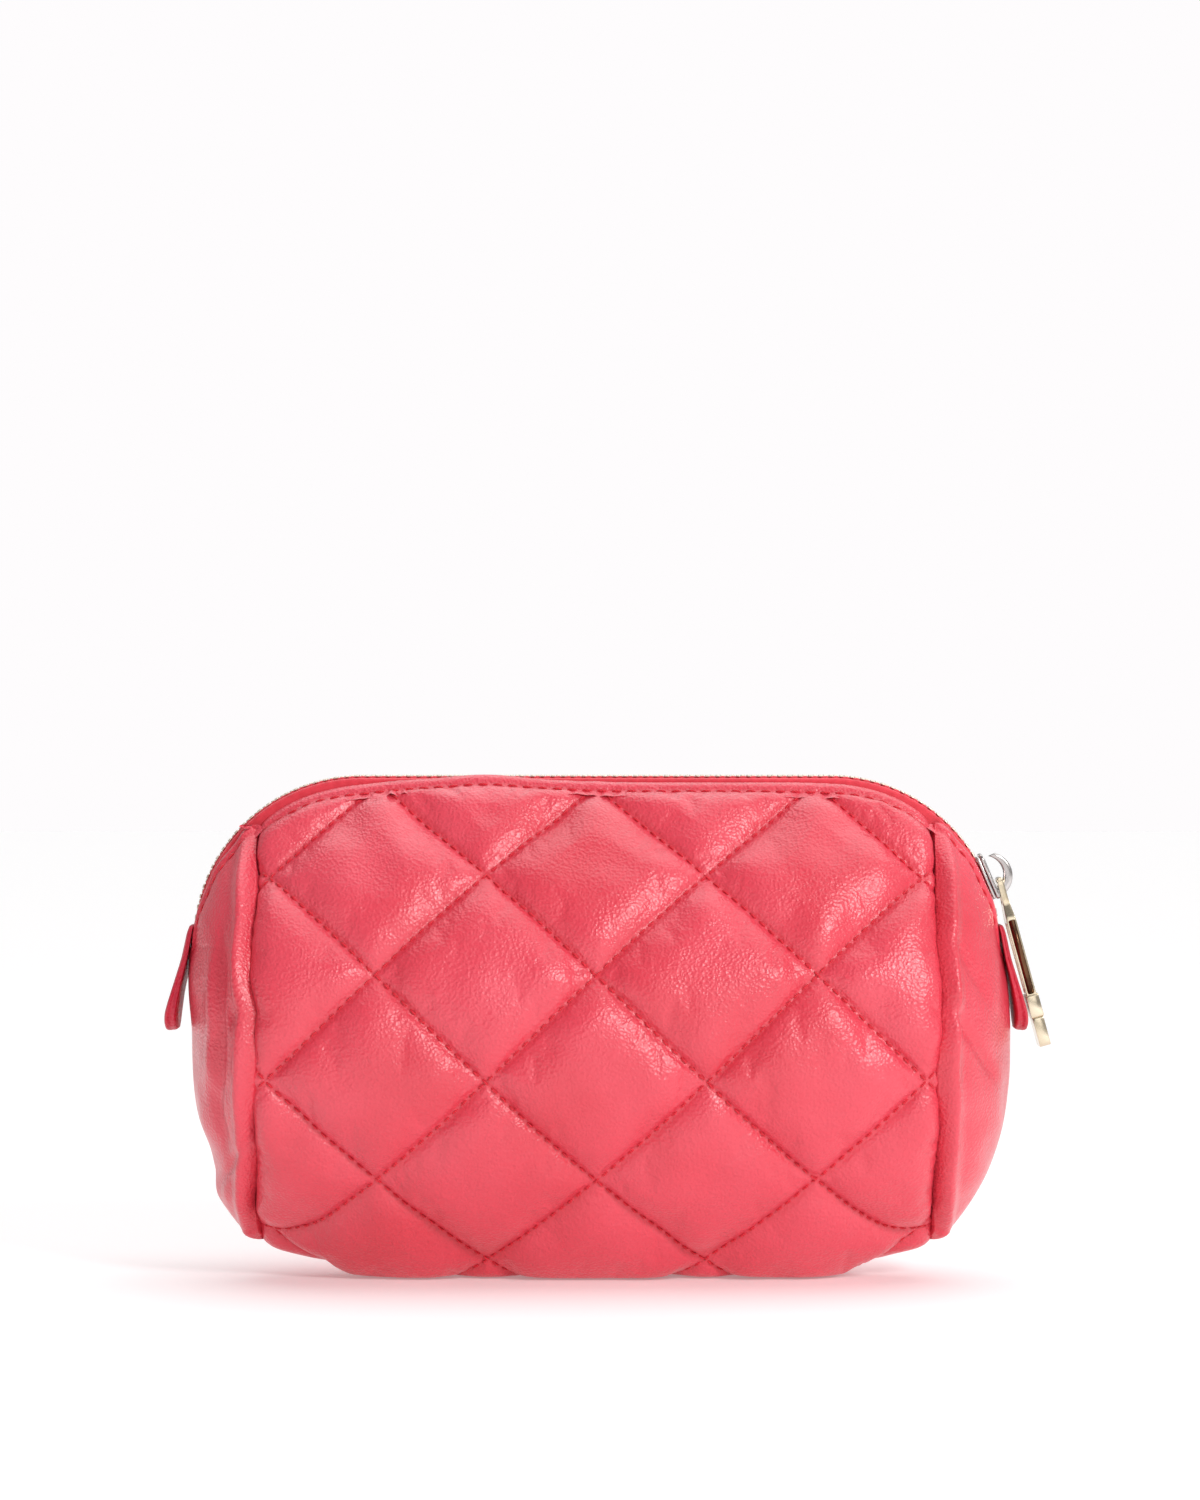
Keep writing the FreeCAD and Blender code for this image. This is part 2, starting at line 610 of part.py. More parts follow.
def make_slider_bridge():
    """A strip arched over the plate, open at its rear tip, that the pull's eye hangs on."""
    body = new_body("slider_bridge")
    plate_top = "sizes.plate_gap_top + sizes.plate_thickness"
    corners = [("sizes.bridge_foot_inner", plate_top), ("sizes.bridge_foot_outer", plate_top),
               ("-sizes.bridge_tip_back", "sizes.bridge_tip_high"),
               ("-sizes.bridge_tip_back", "sizes.bridge_tip_low")]
    bends = {1: ("sizes.bridge_outer_radius", True), 3: ("sizes.bridge_inner_radius", False)}
    sketch = outline_sketch(body, "bridge_outline", "XZ_Plane", corners, "", bends)
    pad(body, sketch, "bridge_strip", "2 * sizes.bridge_half_width", both_ways=True)
    body.Placement = slider_placement()
    node(body, "slider_bridge")


def pull_placement():
    pin = Vector(size("pull_pin_along"), 0, size("pull_pin_height"))
    place = slider_placement().multVec(pin)
    return Placement(place, Rotation(Vector(0, 1, 0), 90 - size("pull_tilt")))


def make_zip_pull():
    """A long open frame with an eye at the top, a raised cuff and a solid end."""
    body = new_body("zip_pull")
    eye, gap, wide = "sizes.eye_half_width", "sizes.eye_gap", "sizes.pull_half_width"

    def slab(name, corners, thickness):
        sketch = outline_sketch(body, name + "_outline", "XY_Plane", corners)
        pad(body, sketch, name, thickness, both_ways=True)

    def hole(name, corners):
        sketch = outline_sketch(body, name + "_outline", "XY_Plane", corners)
        cut = body.newObject("PartDesign::Pocket", name)
        cut.Profile = sketch
        cut.Midplane = True
        cut.Type = "ThroughAll"

    start = "0"
    neck = [(start, f"-{eye}"), ("sizes.eye_end", f"-{eye}"), ("sizes.pull_shoulder", f"-{wide}"),
            ("sizes.window_start", f"-{wide}"), ("sizes.window_start", wide),
            ("sizes.pull_shoulder", wide), ("sizes.eye_end", eye), (start, eye)]
    slab("neck", neck, "sizes.eye_thickness")
    rails = box_corners("sizes.pull_shoulder", "sizes.pull_end", f"-{wide}", wide)
    slab("rails", rails, "sizes.pull_thickness")
    cuff = box_corners("sizes.cuff_start", "sizes.cuff_end",
                       "-sizes.cuff_half_width", "sizes.cuff_half_width")
    slab("cuff", cuff, "sizes.cuff_thickness")
    block = box_corners("sizes.cuff_end", "sizes.pull_end", f"-{wide}", wide)
    slab("end_block", block, "sizes.block_thickness")
    hole("eye", box_corners("-sizes.pull_pin_radius", "sizes.eye_end", f"-{gap}", gap))
    hole("window", box_corners("sizes.window_start", "sizes.window_end",
                               "-sizes.window_half_width", "sizes.window_half_width"))
    pin = new_sketch(body, "pin_outline", "XZ_Plane")
    pin.addGeometry(Part.Circle(Vector(), Vector(0, 0, 1), size("pull_pin_radius")))
    pin.addConstraint(Sketcher.Constraint("Coincident", 0, 3, -1, 1))
    held = Sketcher.Constraint("Radius", 0, size("pull_pin_radius"))
    pin.setExpression(f"Constraints[{pin.addConstraint(held)}]", "sizes.pull_pin_radius")
    pad(body, pin, "pin", "2 * sizes.eye_half_width", both_ways=True)
    body.Placement = pull_placement()
    node(body, "zip_pull")


# ---------------------------------------------------------------- the end tabs

def make_end_tabs():
    """A folded leather tongue sewn over each end of the zip, flaring out at its round free end."""
    side, high, low = "sizes.tab_half_width", "sizes.tab_top", "sizes.tab_round_start"
    for name, end in ENDS.items():
        fold = new_body(f"{name}_tab_fold")
        corners = [(str(end * x), str(z)) for x, z in TAB_FACING_GUSSET + TAB_FACING_OUT]
        sketch = outline_sketch(fold, f"{name}_tab_profile", "XZ_Plane", corners)
        pad(fold, sketch, f"{name}_tab_width", "2 * sizes.tab_half_width", both_ways=True)
        cutter = new_body(f"{name}_tab_cutter")
        tongue = [(side, high), (f"-{side}", high), (f"-{side}", low), (side, low)]
        outline = outline_sketch(cutter, f"{name}_tongue_outline", "YZ_Plane", tongue, "",
                                 {2: ("sizes.tab_end_radius", True)})
        pad(cutter, outline, f"{name}_tongue", "4 * sizes.bulge_reach", both_ways=True)
        tab = document.addObject("Part::Common", f"{name}_tab")
        tab.Base = fold
        tab.Tool = cutter
        node(tab, f"{name}_end_tab")


# ---------------------------------------------------------------- making, checking, writing

make_quilted_shell()
make_inner_layers()
make_gussets()
make_chain()
make_bottom_stop()
make_slider_body()
make_slider_bridge()
make_zip_pull()
make_end_tabs()
document.recompute()

for thing in document.Objects:
    if "Invalid" in thing.State or "Error" in thing.State:
        raise RuntimeError(f"{thing.Label} did not compute: {thing.State}")

os.makedirs("parts", exist_ok=True)
for thing in nodes:
    shape = thing.Shape
    if shape.isNull() or not shape.isValid():
        raise RuntimeError(f"{thing.Label} has no valid shape")
    shape.exportStep(f"parts/{thing.Label}.step")
    box = shape.BoundBox
    print(f"{thing.Label:24s} solids {len(shape.Solids):3d}  volume {shape.Volume:9.1f}  "
          f"x {box.XMin:7.2f} {box.XMax:7.2f}  y {box.YMin:6.2f} {box.YMax:6.2f}  "
          f"z {box.ZMin:6.2f} {box.ZMax:6.2f}")
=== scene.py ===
"""The looks of a quilted leather makeup bag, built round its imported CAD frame.

Lengths inside the script are millimetres in the frame's axes, and meshes are written in metres.
+X runs along the bag, -Y is its front and +Z is up.
"""
import math

import bmesh
import bpy
import numpy as np
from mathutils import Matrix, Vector


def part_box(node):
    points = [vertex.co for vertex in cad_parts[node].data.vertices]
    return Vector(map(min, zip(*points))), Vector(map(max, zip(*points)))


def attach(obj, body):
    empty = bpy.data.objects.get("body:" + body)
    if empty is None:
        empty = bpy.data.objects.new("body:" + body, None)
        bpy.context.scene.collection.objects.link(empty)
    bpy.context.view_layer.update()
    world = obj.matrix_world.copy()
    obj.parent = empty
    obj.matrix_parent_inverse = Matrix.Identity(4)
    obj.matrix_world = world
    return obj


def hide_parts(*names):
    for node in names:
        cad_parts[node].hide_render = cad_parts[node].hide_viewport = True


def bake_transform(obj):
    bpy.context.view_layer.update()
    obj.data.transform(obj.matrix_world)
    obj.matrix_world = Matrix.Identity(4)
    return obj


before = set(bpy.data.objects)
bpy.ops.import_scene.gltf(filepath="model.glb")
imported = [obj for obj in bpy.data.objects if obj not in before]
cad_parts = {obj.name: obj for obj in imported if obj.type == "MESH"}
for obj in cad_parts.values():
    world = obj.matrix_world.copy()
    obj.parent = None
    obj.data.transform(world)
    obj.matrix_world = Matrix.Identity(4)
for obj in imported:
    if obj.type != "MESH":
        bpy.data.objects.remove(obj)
bpy.context.view_layer.update()

MM = 0.001


def box_mm(node):
    low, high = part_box(node)
    return np.array(low) / MM, np.array(high) / MM


# ---------------- sizes, from the frame

SHELL_LOW, SHELL_HIGH = box_mm("quilted_shell")
TAPE_LOW, TAPE_HIGH = box_mm("front_zip_tape")
GUSSET_LOW, GUSSET_HIGH = box_mm("right_gusset")
SEAM = SHELL_HIGH[0]
MIDDLE_DEPTH = SHELL_HIGH[1]
SEAM_DEPTH = GUSSET_HIGH[1]
REACH = GUSSET_HIGH[0]
TIP = GUSSET_LOW[2]
LEVEL = TAPE_LOW[2]
TEETH_LOW, TEETH_HIGH = box_mm("front_teeth")
ZIP_TOP = TEETH_HIGH[2]
ZIP_RADIUS = ZIP_TOP - LEVEL
TAPE_TOP = ZIP_TOP - TAPE_HIGH[2]
SHOULDER = TAPE_HIGH[0] + TAPE_TOP - ZIP_RADIUS
TOOTH_OUTER = -TEETH_LOW[1]
CORD_LOW, CORD_HIGH = box_mm("front_tape_cord")
CORD_RADIUS = (CORD_HIGH[1] - CORD_LOW[1]) / 2
CORD_OFFSET = -(CORD_HIGH[1] + CORD_LOW[1]) / 2

EDGE_DROP = 1.9          # leather edge under the teeth's outer face, along the top
EDGE_RISE = 0.6          # how much higher it has been pulled left of the middle
LEFT_DROP = 2.9          # the same on the left shoulder
RIGHT_DROP = 2.4         # and on the right one
EDGE_DROP_AT_END = 0.4
MOUTH = 6.4              # leather edge from the zip's middle plane
WIDEST = 60.0            # level where the bag is deepest
BULGE_LEVEL = 61.0
BASE_HALF = 8.0          # rounded keel of the base, half its width
KEEL_HALF = 3.2          # the same at the end seams
KEEL_START = 48.0        # where the base starts to rise
KEEL_RISE = 10.0         # how far it rises at the end seams

QUILT_ACROSS = 26.2      # between the quilting's crossings along the bag
QUILT_DOWN = 26.3        # the same round the bag
ROW_AT_WIDEST = 2.55     # quilting rows from the front topstitch to the widest level
ROWS_ROUND = 11.0        # rows from the front topstitch to the rear one
TOPSTITCH = 2.9          # topstitch from the leather edge


# ---------------- the bag's mean surface

def smooth(low, high, value):
    """0 below low, 1 above high and an even ease between."""
    t = np.clip((value - low) / (high - low), 0, 1)
    return t * t * (3 - 2 * t)


def hump(value, centre, width):
    return np.exp(-((value - centre) / width) ** 2)


def eased(t, start, start_way, end, end_way):
    """A smooth cubic from start to end that leaves and arrives the two ways given."""
    return ((2 * t ** 3 - 3 * t ** 2 + 1) * start + (t ** 3 - 2 * t ** 2 + t) * start_way
            + (3 * t ** 2 - 2 * t ** 3) * end + (t ** 3 - t ** 2) * end_way)


def lengths_to(points):
    """How far along a line of points each is."""
    return np.concatenate([[0], np.cumsum(np.linalg.norm(np.diff(points, axis=0), axis=1))])


def along_line(places, gone, points):
    """Points of a line at the given distances along it."""
    return np.stack([np.interp(places, gone, column) for column in points.T], axis=1)


def edge_height(x):
    along = np.maximum(np.abs(x) - SHOULDER, 0)
    drop = EDGE_DROP + (LEFT_DROP - EDGE_DROP) * smooth(SHOULDER - 12, SHOULDER + 10, -x)
    drop = drop + (RIGHT_DROP - EDGE_DROP) * smooth(SHOULDER - 12, SHOULDER + 10, x)
    drop = drop - EDGE_RISE * smooth(-15, 20, -x) * (1 - smooth(42, 60, -x))
    return LEVEL + np.sqrt((ZIP_RADIUS - drop) ** 2 - along ** 2)


def keel_height(x):
    share = np.maximum(np.abs(x) - KEEL_START, 0) / (SEAM - KEEL_START)
    return KEEL_RISE * share ** 1.5


def half_depth(x, z):
    """Half the bag's depth at a height: a parabola each way from its deepest level."""
    share = (x / SEAM) ** 2
    deepest = MIDDLE_DEPTH + (SEAM_DEPTH - MIDDLE_DEPTH) * share
    upper = z > WIDEST
    least = np.where(upper, MOUTH, BASE_HALF + (KEEL_HALF - BASE_HALF) * share)
    limit = np.where(upper, edge_height(x), keel_height(x))
    return deepest - (deepest - least) * ((z - WIDEST) / (limit - WIDEST)) ** 2


def half_outline(x, count):
    """The rear half of the bag's outline at x, from the mouth's edge to the keel.

    Returns evenly spaced points (y, z), and how far round from the widest level each is.
    """
    keel = float(keel_height(x))
    foot = keel + 2.6
    z = np.linspace(float(edge_height(x)), foot, 400)
    flank = np.stack([half_depth(x, z), z], axis=1)
    way_in = flank[-1] - flank[-2]
    reach = 1.1 * flank[-1][0]
    way_in = way_in / np.linalg.norm(way_in) * reach
    t = np.linspace(0, 1, 60)[1:, None]
    end = np.array([0.0, keel])
    level_way = np.array([-reach, 0.0])
    line = np.concatenate([flank, eased(t, flank[-1], way_in, end, level_way)])
    gone = lengths_to(line)
    places = np.linspace(0, gone[-1], count + 1)
    at_widest = np.interp(-BULGE_LEVEL, -flank[:, 1], gone[:len(flank)])
    return along_line(places, gone, line), places, places - at_widest


def both_halves(x, rear):
    """The whole outline at x, front edge to rear edge, from its rear half's (y, z) points."""
    front = np.stack([np.full(len(rear), x), -rear[:, 0], rear[:, 1]], axis=1)
    return np.concatenate([front, front[-2::-1] * [1, -1, 1]])


def seam_wander(y, z, left):
    """How far along the bag an end seam strays from its plane."""
    phase = np.where(y > 0, 2.1, 0.0) + (1.3 if left else 0.0)
    wander = 0.45 * np.sin(0.21 * z + phase) + 0.35 * np.sin(0.09 * z + 2 + phase)
    return wander + (0.9 if left else -0.5) * hump(z, 67, 3.5)


def ripples(a, b, length, seed, count=14):
    """A soft, even-handed unevenness over two coordinates, about one high."""
    chosen = np.random.default_rng(seed)
    total = np.zeros(np.broadcast(a, b).shape)
    for _ in range(count):
        direction = chosen.uniform(0, 2 * math.pi)
        wave = 2 * math.pi / (length * chosen.uniform(0.7, 1.5))
        phase = chosen.uniform(0, 2 * math.pi)
        total += np.sin(wave * (a * math.cos(direction) + b * math.sin(direction)) + phase)
    return total * math.sqrt(2 / count)


def unit(vectors):
    return vectors / np.maximum(np.linalg.norm(vectors, axis=-1, keepdims=True), 1e-9)


def grid_normals(grid):
    """Unit normals of a grid of points, to the left of its first way across."""
    return unit(np.cross(np.gradient(grid, axis=0), np.gradient(grid, axis=1)))


def outward_normals(grid):
    """Unit normals of a grid round the bag, turned to point out of it."""
    normals = grid_normals(grid)
    middle, quarter = grid.shape[0] // 2, grid.shape[1] // 4
    facing = normals[middle, quarter, 1] * grid[middle, quarter, 1]
    return normals * (1.0 if facing > 0 else -1.0)


def refine(grid):
    """A grid with a new point halfway between each two, on a smooth cubic through them."""
    for axis in (0, 1):
        grid = np.moveaxis(grid, axis, 0)
        padded = np.concatenate([2 * grid[:1] - grid[1:2], grid, 2 * grid[-1:] - grid[-2:-1]])
        between = (9 * (padded[1:-2] + padded[2:-1]) - padded[:-3] - padded[3:]) / 16
        finer = np.empty((2 * len(grid) - 1,) + grid.shape[1:])
        finer[0::2] = grid
        finer[1::2] = between
        grid = np.moveaxis(finer, 0, axis)
    return grid


def sample(grid, across, down):
    """Values of a grid at fractional places, by straight lines between its points."""
    across = np.clip(across, 0, grid.shape[0] - 1.001)
    down = np.clip(down, 0, grid.shape[1] - 1.001)
    i, j = across.astype(int), down.astype(int)
    a, b = (across - i)[:, None], (down - j)[:, None]
    return ((grid[i, j] * (1 - a) + grid[i + 1, j] * a) * (1 - b)
            + (grid[i, j + 1] * (1 - a) + grid[i + 1, j + 1] * a) * b)


# ---------------- making objects

def make_object(name, points, faces, material, body=None):
    mesh = bpy.data.meshes.new(name)
    mesh.from_pydata((np.asarray(points) * MM).tolist(), [], faces)
    mesh.polygons.foreach_set("use_smooth", [True] * len(mesh.polygons))
    mesh.materials.append(material)
    piece = bpy.data.objects.new(name, mesh)
    bpy.context.scene.collection.objects.link(piece)
    if body:
        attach(piece, body)
    return piece


def grid_faces(rows, columns, first=0, closed=False):
    """Quads of a grid whose points are numbered row by row."""
    faces = []
    for i in range(rows - 1):
        for j in range(columns if closed else columns - 1):
            after = (j + 1) % columns
            a, b = first + i * columns + j, first + i * columns + after
            faces.append((a, a + columns, b + columns, b))
    return faces


def tube_faces(rings, around, first=0):
    """Faces of a closed tube with a cap on each end, from its rings of points."""
    last = first + rings * around - 1
    return (grid_faces(rings, around, first, closed=True)
            + [tuple(range(first, first + around)), tuple(range(last, last - around, -1))])


def prism_faces(count):
    """Faces of a raised outline: its two ends, then its sides."""
    sides = [(k, (k + 1) % count, count + (k + 1) % count, count + k) for k in range(count)]
    return [tuple(range(count))[::-1], tuple(range(count, 2 * count))] + sides


def make_sheet(name, grid, material, body=None):
    """An open surface through a grid of points."""
    return make_object(name, grid.reshape(-1, 3), grid_faces(*grid.shape[:2]), material, body)


def add_attribute(piece, name, values):
    layer = piece.data.attributes.new(name, "FLOAT", "POINT")
    layer.data.foreach_set("value", np.asarray(values, np.float32).ravel())


def apply_modifiers(piece):
    """Gives a piece the mesh that its modifiers make."""
    bpy.context.view_layer.update()
    graph = bpy.context.evaluated_depsgraph_get()
    made = bpy.data.meshes.new_from_object(piece.evaluated_get(graph))
    piece.modifiers.clear()
    piece.data = made


def solid_from_outline(outline, low, high):
    """Points and faces of an outline of (x, y) pairs raised from one height to another."""
    return [(x, y, z) for z in (low, high) for x, y in outline], prism_faces(len(outline))


def merge(parts):
    """Several (points, faces) lists as one."""
    points, faces = [], []
    for some_points, some_faces in parts:
        first = len(points)
        points.extend([tuple(p) for p in some_points])
        faces.extend([tuple(first + v for v in face) for face in some_faces])
    return points, faces


def placed(points, place, angle_from_top):
    """Points of a thing's own frame, X along the zip and Z outwards, turned about Y and moved."""
    points = np.asarray(points, float)
    sine, cosine = math.sin(angle_from_top), math.cos(angle_from_top)
    x = points[:, 0] * cosine + points[:, 2] * sine
    z = -points[:, 0] * sine + points[:, 2] * cosine
    return np.stack([x + place[0], points[:, 1] + place[1], z + place[2]], axis=1)


def tidy_normals(piece, join_within=0):
    """Joins points that are closer than a distance and faces the surface outwards."""
    work = bmesh.new()
    work.from_mesh(piece.data)
    if join_within:
        bmesh.ops.remove_doubles(work, verts=work.verts, dist=join_within * MM)
    bmesh.ops.recalc_face_normals(work, faces=work.faces)
    work.to_mesh(piece.data)
    work.free()


def bevelled(piece, width, segments=2, angle=40):
    """Faces a piece's surface outwards and rounds its sharp edges."""
    tidy_normals(piece)
    bevel = piece.modifiers.new("rounding", "BEVEL")
    bevel.width = width * MM
    bevel.segments = segments
    bevel.limit_method = "ANGLE"
    bevel.angle_limit = math.radians(angle)
    apply_modifiers(piece)
    piece.data.polygons.foreach_set("use_smooth", [True] * len(piece.data.polygons))


# ---------------- materials

def linear(red, green, blue):
    """A colour given in display numbers, 0 to 255, as the shader's linear one."""
    parts = []
    for part in (red, green, blue):
        part = part / 255
        parts.append(part / 12.92 if part <= 0.04045 else ((part + 0.055) / 1.055) ** 2.4)
    return (*parts, 1.0)


class Nodes:
    """A small helper round the nodes of a material or a world."""

    def __init__(self, owner):
        owner.use_nodes = True
        self.owner = owner
        self.tree = owner.node_tree

    def give(self, node, inputs):
        """Sets or links a node's inputs, by name or number."""
        for key, given in inputs.items():
            if isinstance(given, bpy.types.NodeSocket):
                self.tree.links.new(given, node.inputs[key])
            else:
                node.inputs[key].default_value = given

    def new(self, kind, inputs=None, **settings):
        node = self.tree.nodes.new(kind)
        for key, setting in settings.items():
            setattr(node, key, setting)
        self.give(node, inputs or {})
        return node

    def shade(self, **inputs):
        """Gives the material's own shader its inputs, with _ for a space, and returns the material."""
        named = {key.replace("_", " "): given for key, given in inputs.items()}
        self.give(self.tree.nodes["Principled BSDF"], named)
        return self.owner

    def place(self):
        """Places in the mesh's own frame, in metres."""
        return self.new("ShaderNodeTexCoord").outputs["Object"]

    def noise(self, vector, scale, detail=2.0):
        inputs = {"Vector": vector, "Scale": scale, "Detail": detail}
        return self.new("ShaderNodeTexNoise", inputs).outputs["Fac"]

    def wave(self, vector, direction, scale, distortion):
        inputs = {"Vector": vector, "Scale": scale, "Distortion": distortion}
        node = self.new("ShaderNodeTexWave", inputs, wave_type="BANDS", bands_direction=direction)
        return node.outputs["Fac"]

    def math(self, operation, *values):
        return self.new("ShaderNodeMath", dict(enumerate(values)), operation=operation).outputs[0]

    def ramp(self, source, *stops):
        node = self.new("ShaderNodeValToRGB", {"Fac": source})
        elements = node.color_ramp.elements
        while len(elements) < len(stops):
            elements.new(0.5)
        for element, (place, colour) in zip(elements, stops):
            element.position = place
            element.color = colour
        return node.outputs["Color"]

    def range(self, source, low, high, new_low, new_high):
        inputs = {"Value": source, "From Min": low, "From Max": high, "To Min": new_low, "To Max": new_high}
        return self.new("ShaderNodeMapRange", inputs).outputs["Result"]

    def bump(self, height, strength, distance, **after):
        inputs = {"Height": height, "Strength": strength, "Distance": distance * MM, **after}
        return self.new("ShaderNodeBump", inputs).outputs["Normal"]


def leather_material(name, base, deep, pale, roughness, coat):
    """Fine-grained lambskin: pebbles under a millimetre, soft colour drift, broken gloss and painted shade
    in its creases and seams.
    """
    made = Nodes(bpy.data.materials.new(name))
    place = made.place()
    warp = made.new("ShaderNodeTexNoise", {"Vector": place, "Scale": 420.0}).outputs["Color"]
    mixed = made.new("ShaderNodeMix", {"Factor": 0.0012, 4: place, 5: warp}, data_type="VECTOR")
    pebbles = made.new("ShaderNodeTexVoronoi",
                       {"Vector": mixed.outputs[1], "Scale": 1250.0, "Randomness": 0.9})
    creases = made.noise(place, 190.0, 4.0)
    grain = made.math("MULTIPLY_ADD", made.noise(place, 900.0), 0.35, pebbles.outputs["Distance"])
    colour = made.ramp(made.noise(place, 26.0, 3.0), (0.32, deep), (0.5, base), (0.72, pale))
    # painted shade: a point attribute, high where stitches and seams sink the leather, darkens its colour
    # there
    painted_valley_shade = made.new("ShaderNodeAttribute", attribute_name="painted_valley_shade", attribute_type="GEOMETRY")
    share = made.math("MULTIPLY", painted_valley_shade.outputs["Fac"], 0.38)
    darker = made.new("ShaderNodeMix", {"Factor": share, "A": colour, "B": (0.90, 0.42, 0.48, 1)},
                      data_type="RGBA", blend_type="MULTIPLY")
    return made.shade(Base_Color=darker.outputs[2],
                      Roughness=made.range(creases, 0.35, 0.7, roughness - 0.07, roughness + 0.09),
                      Normal=made.bump(creases, 0.2, 0.4, Normal=made.bump(grain, 1.0, 0.2)),
                      Coat_Normal=made.bump(grain, 0.6, 0.12),
                      Specular_IOR_Level=0.42, Coat_Weight=coat, Coat_Roughness=0.31)


def metal_material(name, base, tint, roughness, metallic=1.0):
    """Polished plate with faint brushing, a little colour drift and softer gloss in places."""
    made = Nodes(bpy.data.materials.new(name))
    place = made.place()
    broad = made.noise(place, 160.0, 3.0)
    stretched = made.new("ShaderNodeMapping", {"Vector": place, "Scale": (300.0, 4000.0, 300.0)})
    return made.shade(Base_Color=made.ramp(broad, (0.3, base), (0.7, tint)),
                      Roughness=made.range(broad, 0.3, 0.7, roughness - 0.04, roughness + 0.06),
                      Normal=made.bump(made.noise(stretched.outputs["Vector"], 1.0), 0.04, 0.008),
                      Metallic=metallic)


def thread_material(name, base, shade):
    """Twisted sewing thread."""
    made = Nodes(bpy.data.materials.new(name))
    twist = made.wave(made.place(), "DIAGONAL", 900.0, 2.0)
    return made.shade(Base_Color=made.ramp(twist, (0.1, shade), (0.8, base)),
                      Normal=made.bump(twist, 0.4, 0.06), Roughness=0.62, Sheen_Weight=0.2)


def woven_material(name, base, shade, count, roughness):
    """Cloth of crossing threads, count of them to the metre each way."""
    made = Nodes(bpy.data.materials.new(name))
    place = made.place()
    waves = [made.wave(place, direction, count / 20, 0.6) for direction in ("X", "Y", "Z")]
    weave = made.math("MULTIPLY", made.math("MAXIMUM", waves[0], waves[2]), waves[1])
    drift = made.noise(place, 60.0, 3.0)
    both = made.math("MULTIPLY_ADD", drift, 0.5, made.math("MULTIPLY", weave, 0.6))
    return made.shade(Base_Color=made.ramp(both, (0.15, shade), (0.75, base)),
                      Normal=made.bump(weave, 0.5, 0.12), Roughness=roughness, Sheen_Weight=0.25)


CORAL = leather_material("coral_lambskin", linear(225, 64, 82), linear(217, 54, 71),
                         linear(230, 74, 92), 0.36, 0.62)
CRIMSON = leather_material("crimson_leather", linear(204, 36, 62), linear(188, 24, 48),
                           linear(216, 50, 78), 0.46, 0.12)
THREAD = thread_material("red_thread", linear(222, 26, 52), linear(196, 16, 36))
TAPE = woven_material("red_zip_tape", linear(242, 62, 80), linear(206, 34, 52), 2200, 0.7)
LINING = woven_material("lining_cloth", linear(70, 64, 68), linear(44, 40, 44), 2600, 0.45)
TOOTH_NICKEL = metal_material("tooth_nickel", linear(244, 234, 220), linear(224, 212, 194), 0.36, 0.5)
NICKEL = metal_material("polished_nickel", linear(196, 190, 188), linear(176, 170, 168), 0.2)
GOLD = metal_material("pale_gold", linear(222, 208, 184), linear(206, 190, 162), 0.18)
BRONZE = metal_material("dark_gold_side_band", linear(128, 92, 66), linear(88, 62, 48), 0.24)


# ---------------- the quilted panel

HALF_STEPS = 112         # grid steps from the mouth's edge to the keel, before refining
COLUMN_STEPS = 126       # grid steps from seam to seam, before refining
KEEL_BLEND = 20.0        # rows even out between front and rear over this far round


def panel_layout():
    """The panel's mean surface as a grid, with each point's place in the quilting."""
    columns = np.linspace(-SEAM, SEAM, COLUMN_STEPS + 1)
    grid = np.zeros((COLUMN_STEPS + 1, 2 * HALF_STEPS + 1, 3))
    row = np.zeros(grid.shape[:2])
    from_edge = np.zeros(grid.shape[:2])
    for j, x in enumerate(columns):
        points, places, level = half_outline(x, HALF_STEPS)
        round_end = level[-1]
        first = ROW_AT_WIDEST + (round_end - KEEL_BLEND) / QUILT_DOWN
        last = ROWS_ROUND - first
        rise = 2 * KEEL_BLEND / QUILT_DOWN
        front_row = ROW_AT_WIDEST + level / QUILT_DOWN
        t = np.clip((level - round_end + KEEL_BLEND) / (2 * KEEL_BLEND), 0, 1)
        front_row = np.where(t > 0, eased(t, first, rise, last, rise), front_row)
        grid[j] = both_halves(x, points)
        row[j, :HALF_STEPS + 1] = front_row
        row[j, HALF_STEPS:] = ROWS_ROUND - front_row[::-1]
        from_edge[j, :HALF_STEPS + 1] = places
        from_edge[j, HALF_STEPS:] = places[::-1]
    slope = np.gradient(edge_height(columns), columns)
    from_edge *= np.cos(np.arctan(0.85 * slope))[:, None]
    return grid, row, from_edge


def line_distances(x, row):
    """Distance from the nearest quilting line of each of its two slanting families."""
    distances = []
    for family in (x / QUILT_ACROSS + row, x / QUILT_ACROSS - row):
        distances.append(np.abs(family - 2 * np.round(family / 2)) * QUILT_ACROSS / math.sqrt(2))
    return distances


def pillow(distance, width):
    """A stuffed edge: steep at the stitches, level at the width."""
    return 1 - (1 - np.clip(distance / width, 0, 1)) ** 2.3


PILLOW_WIDTH = 9.5
PILLOW_HEIGHT = 2.7
VALLEY_DEPTH = 1.5
CREASE_DEPTH = 0.45
PUCKER_HEIGHT = 0.10
FRONT_LIFT = 1.3         # how far the front edge is lifted left of the middle


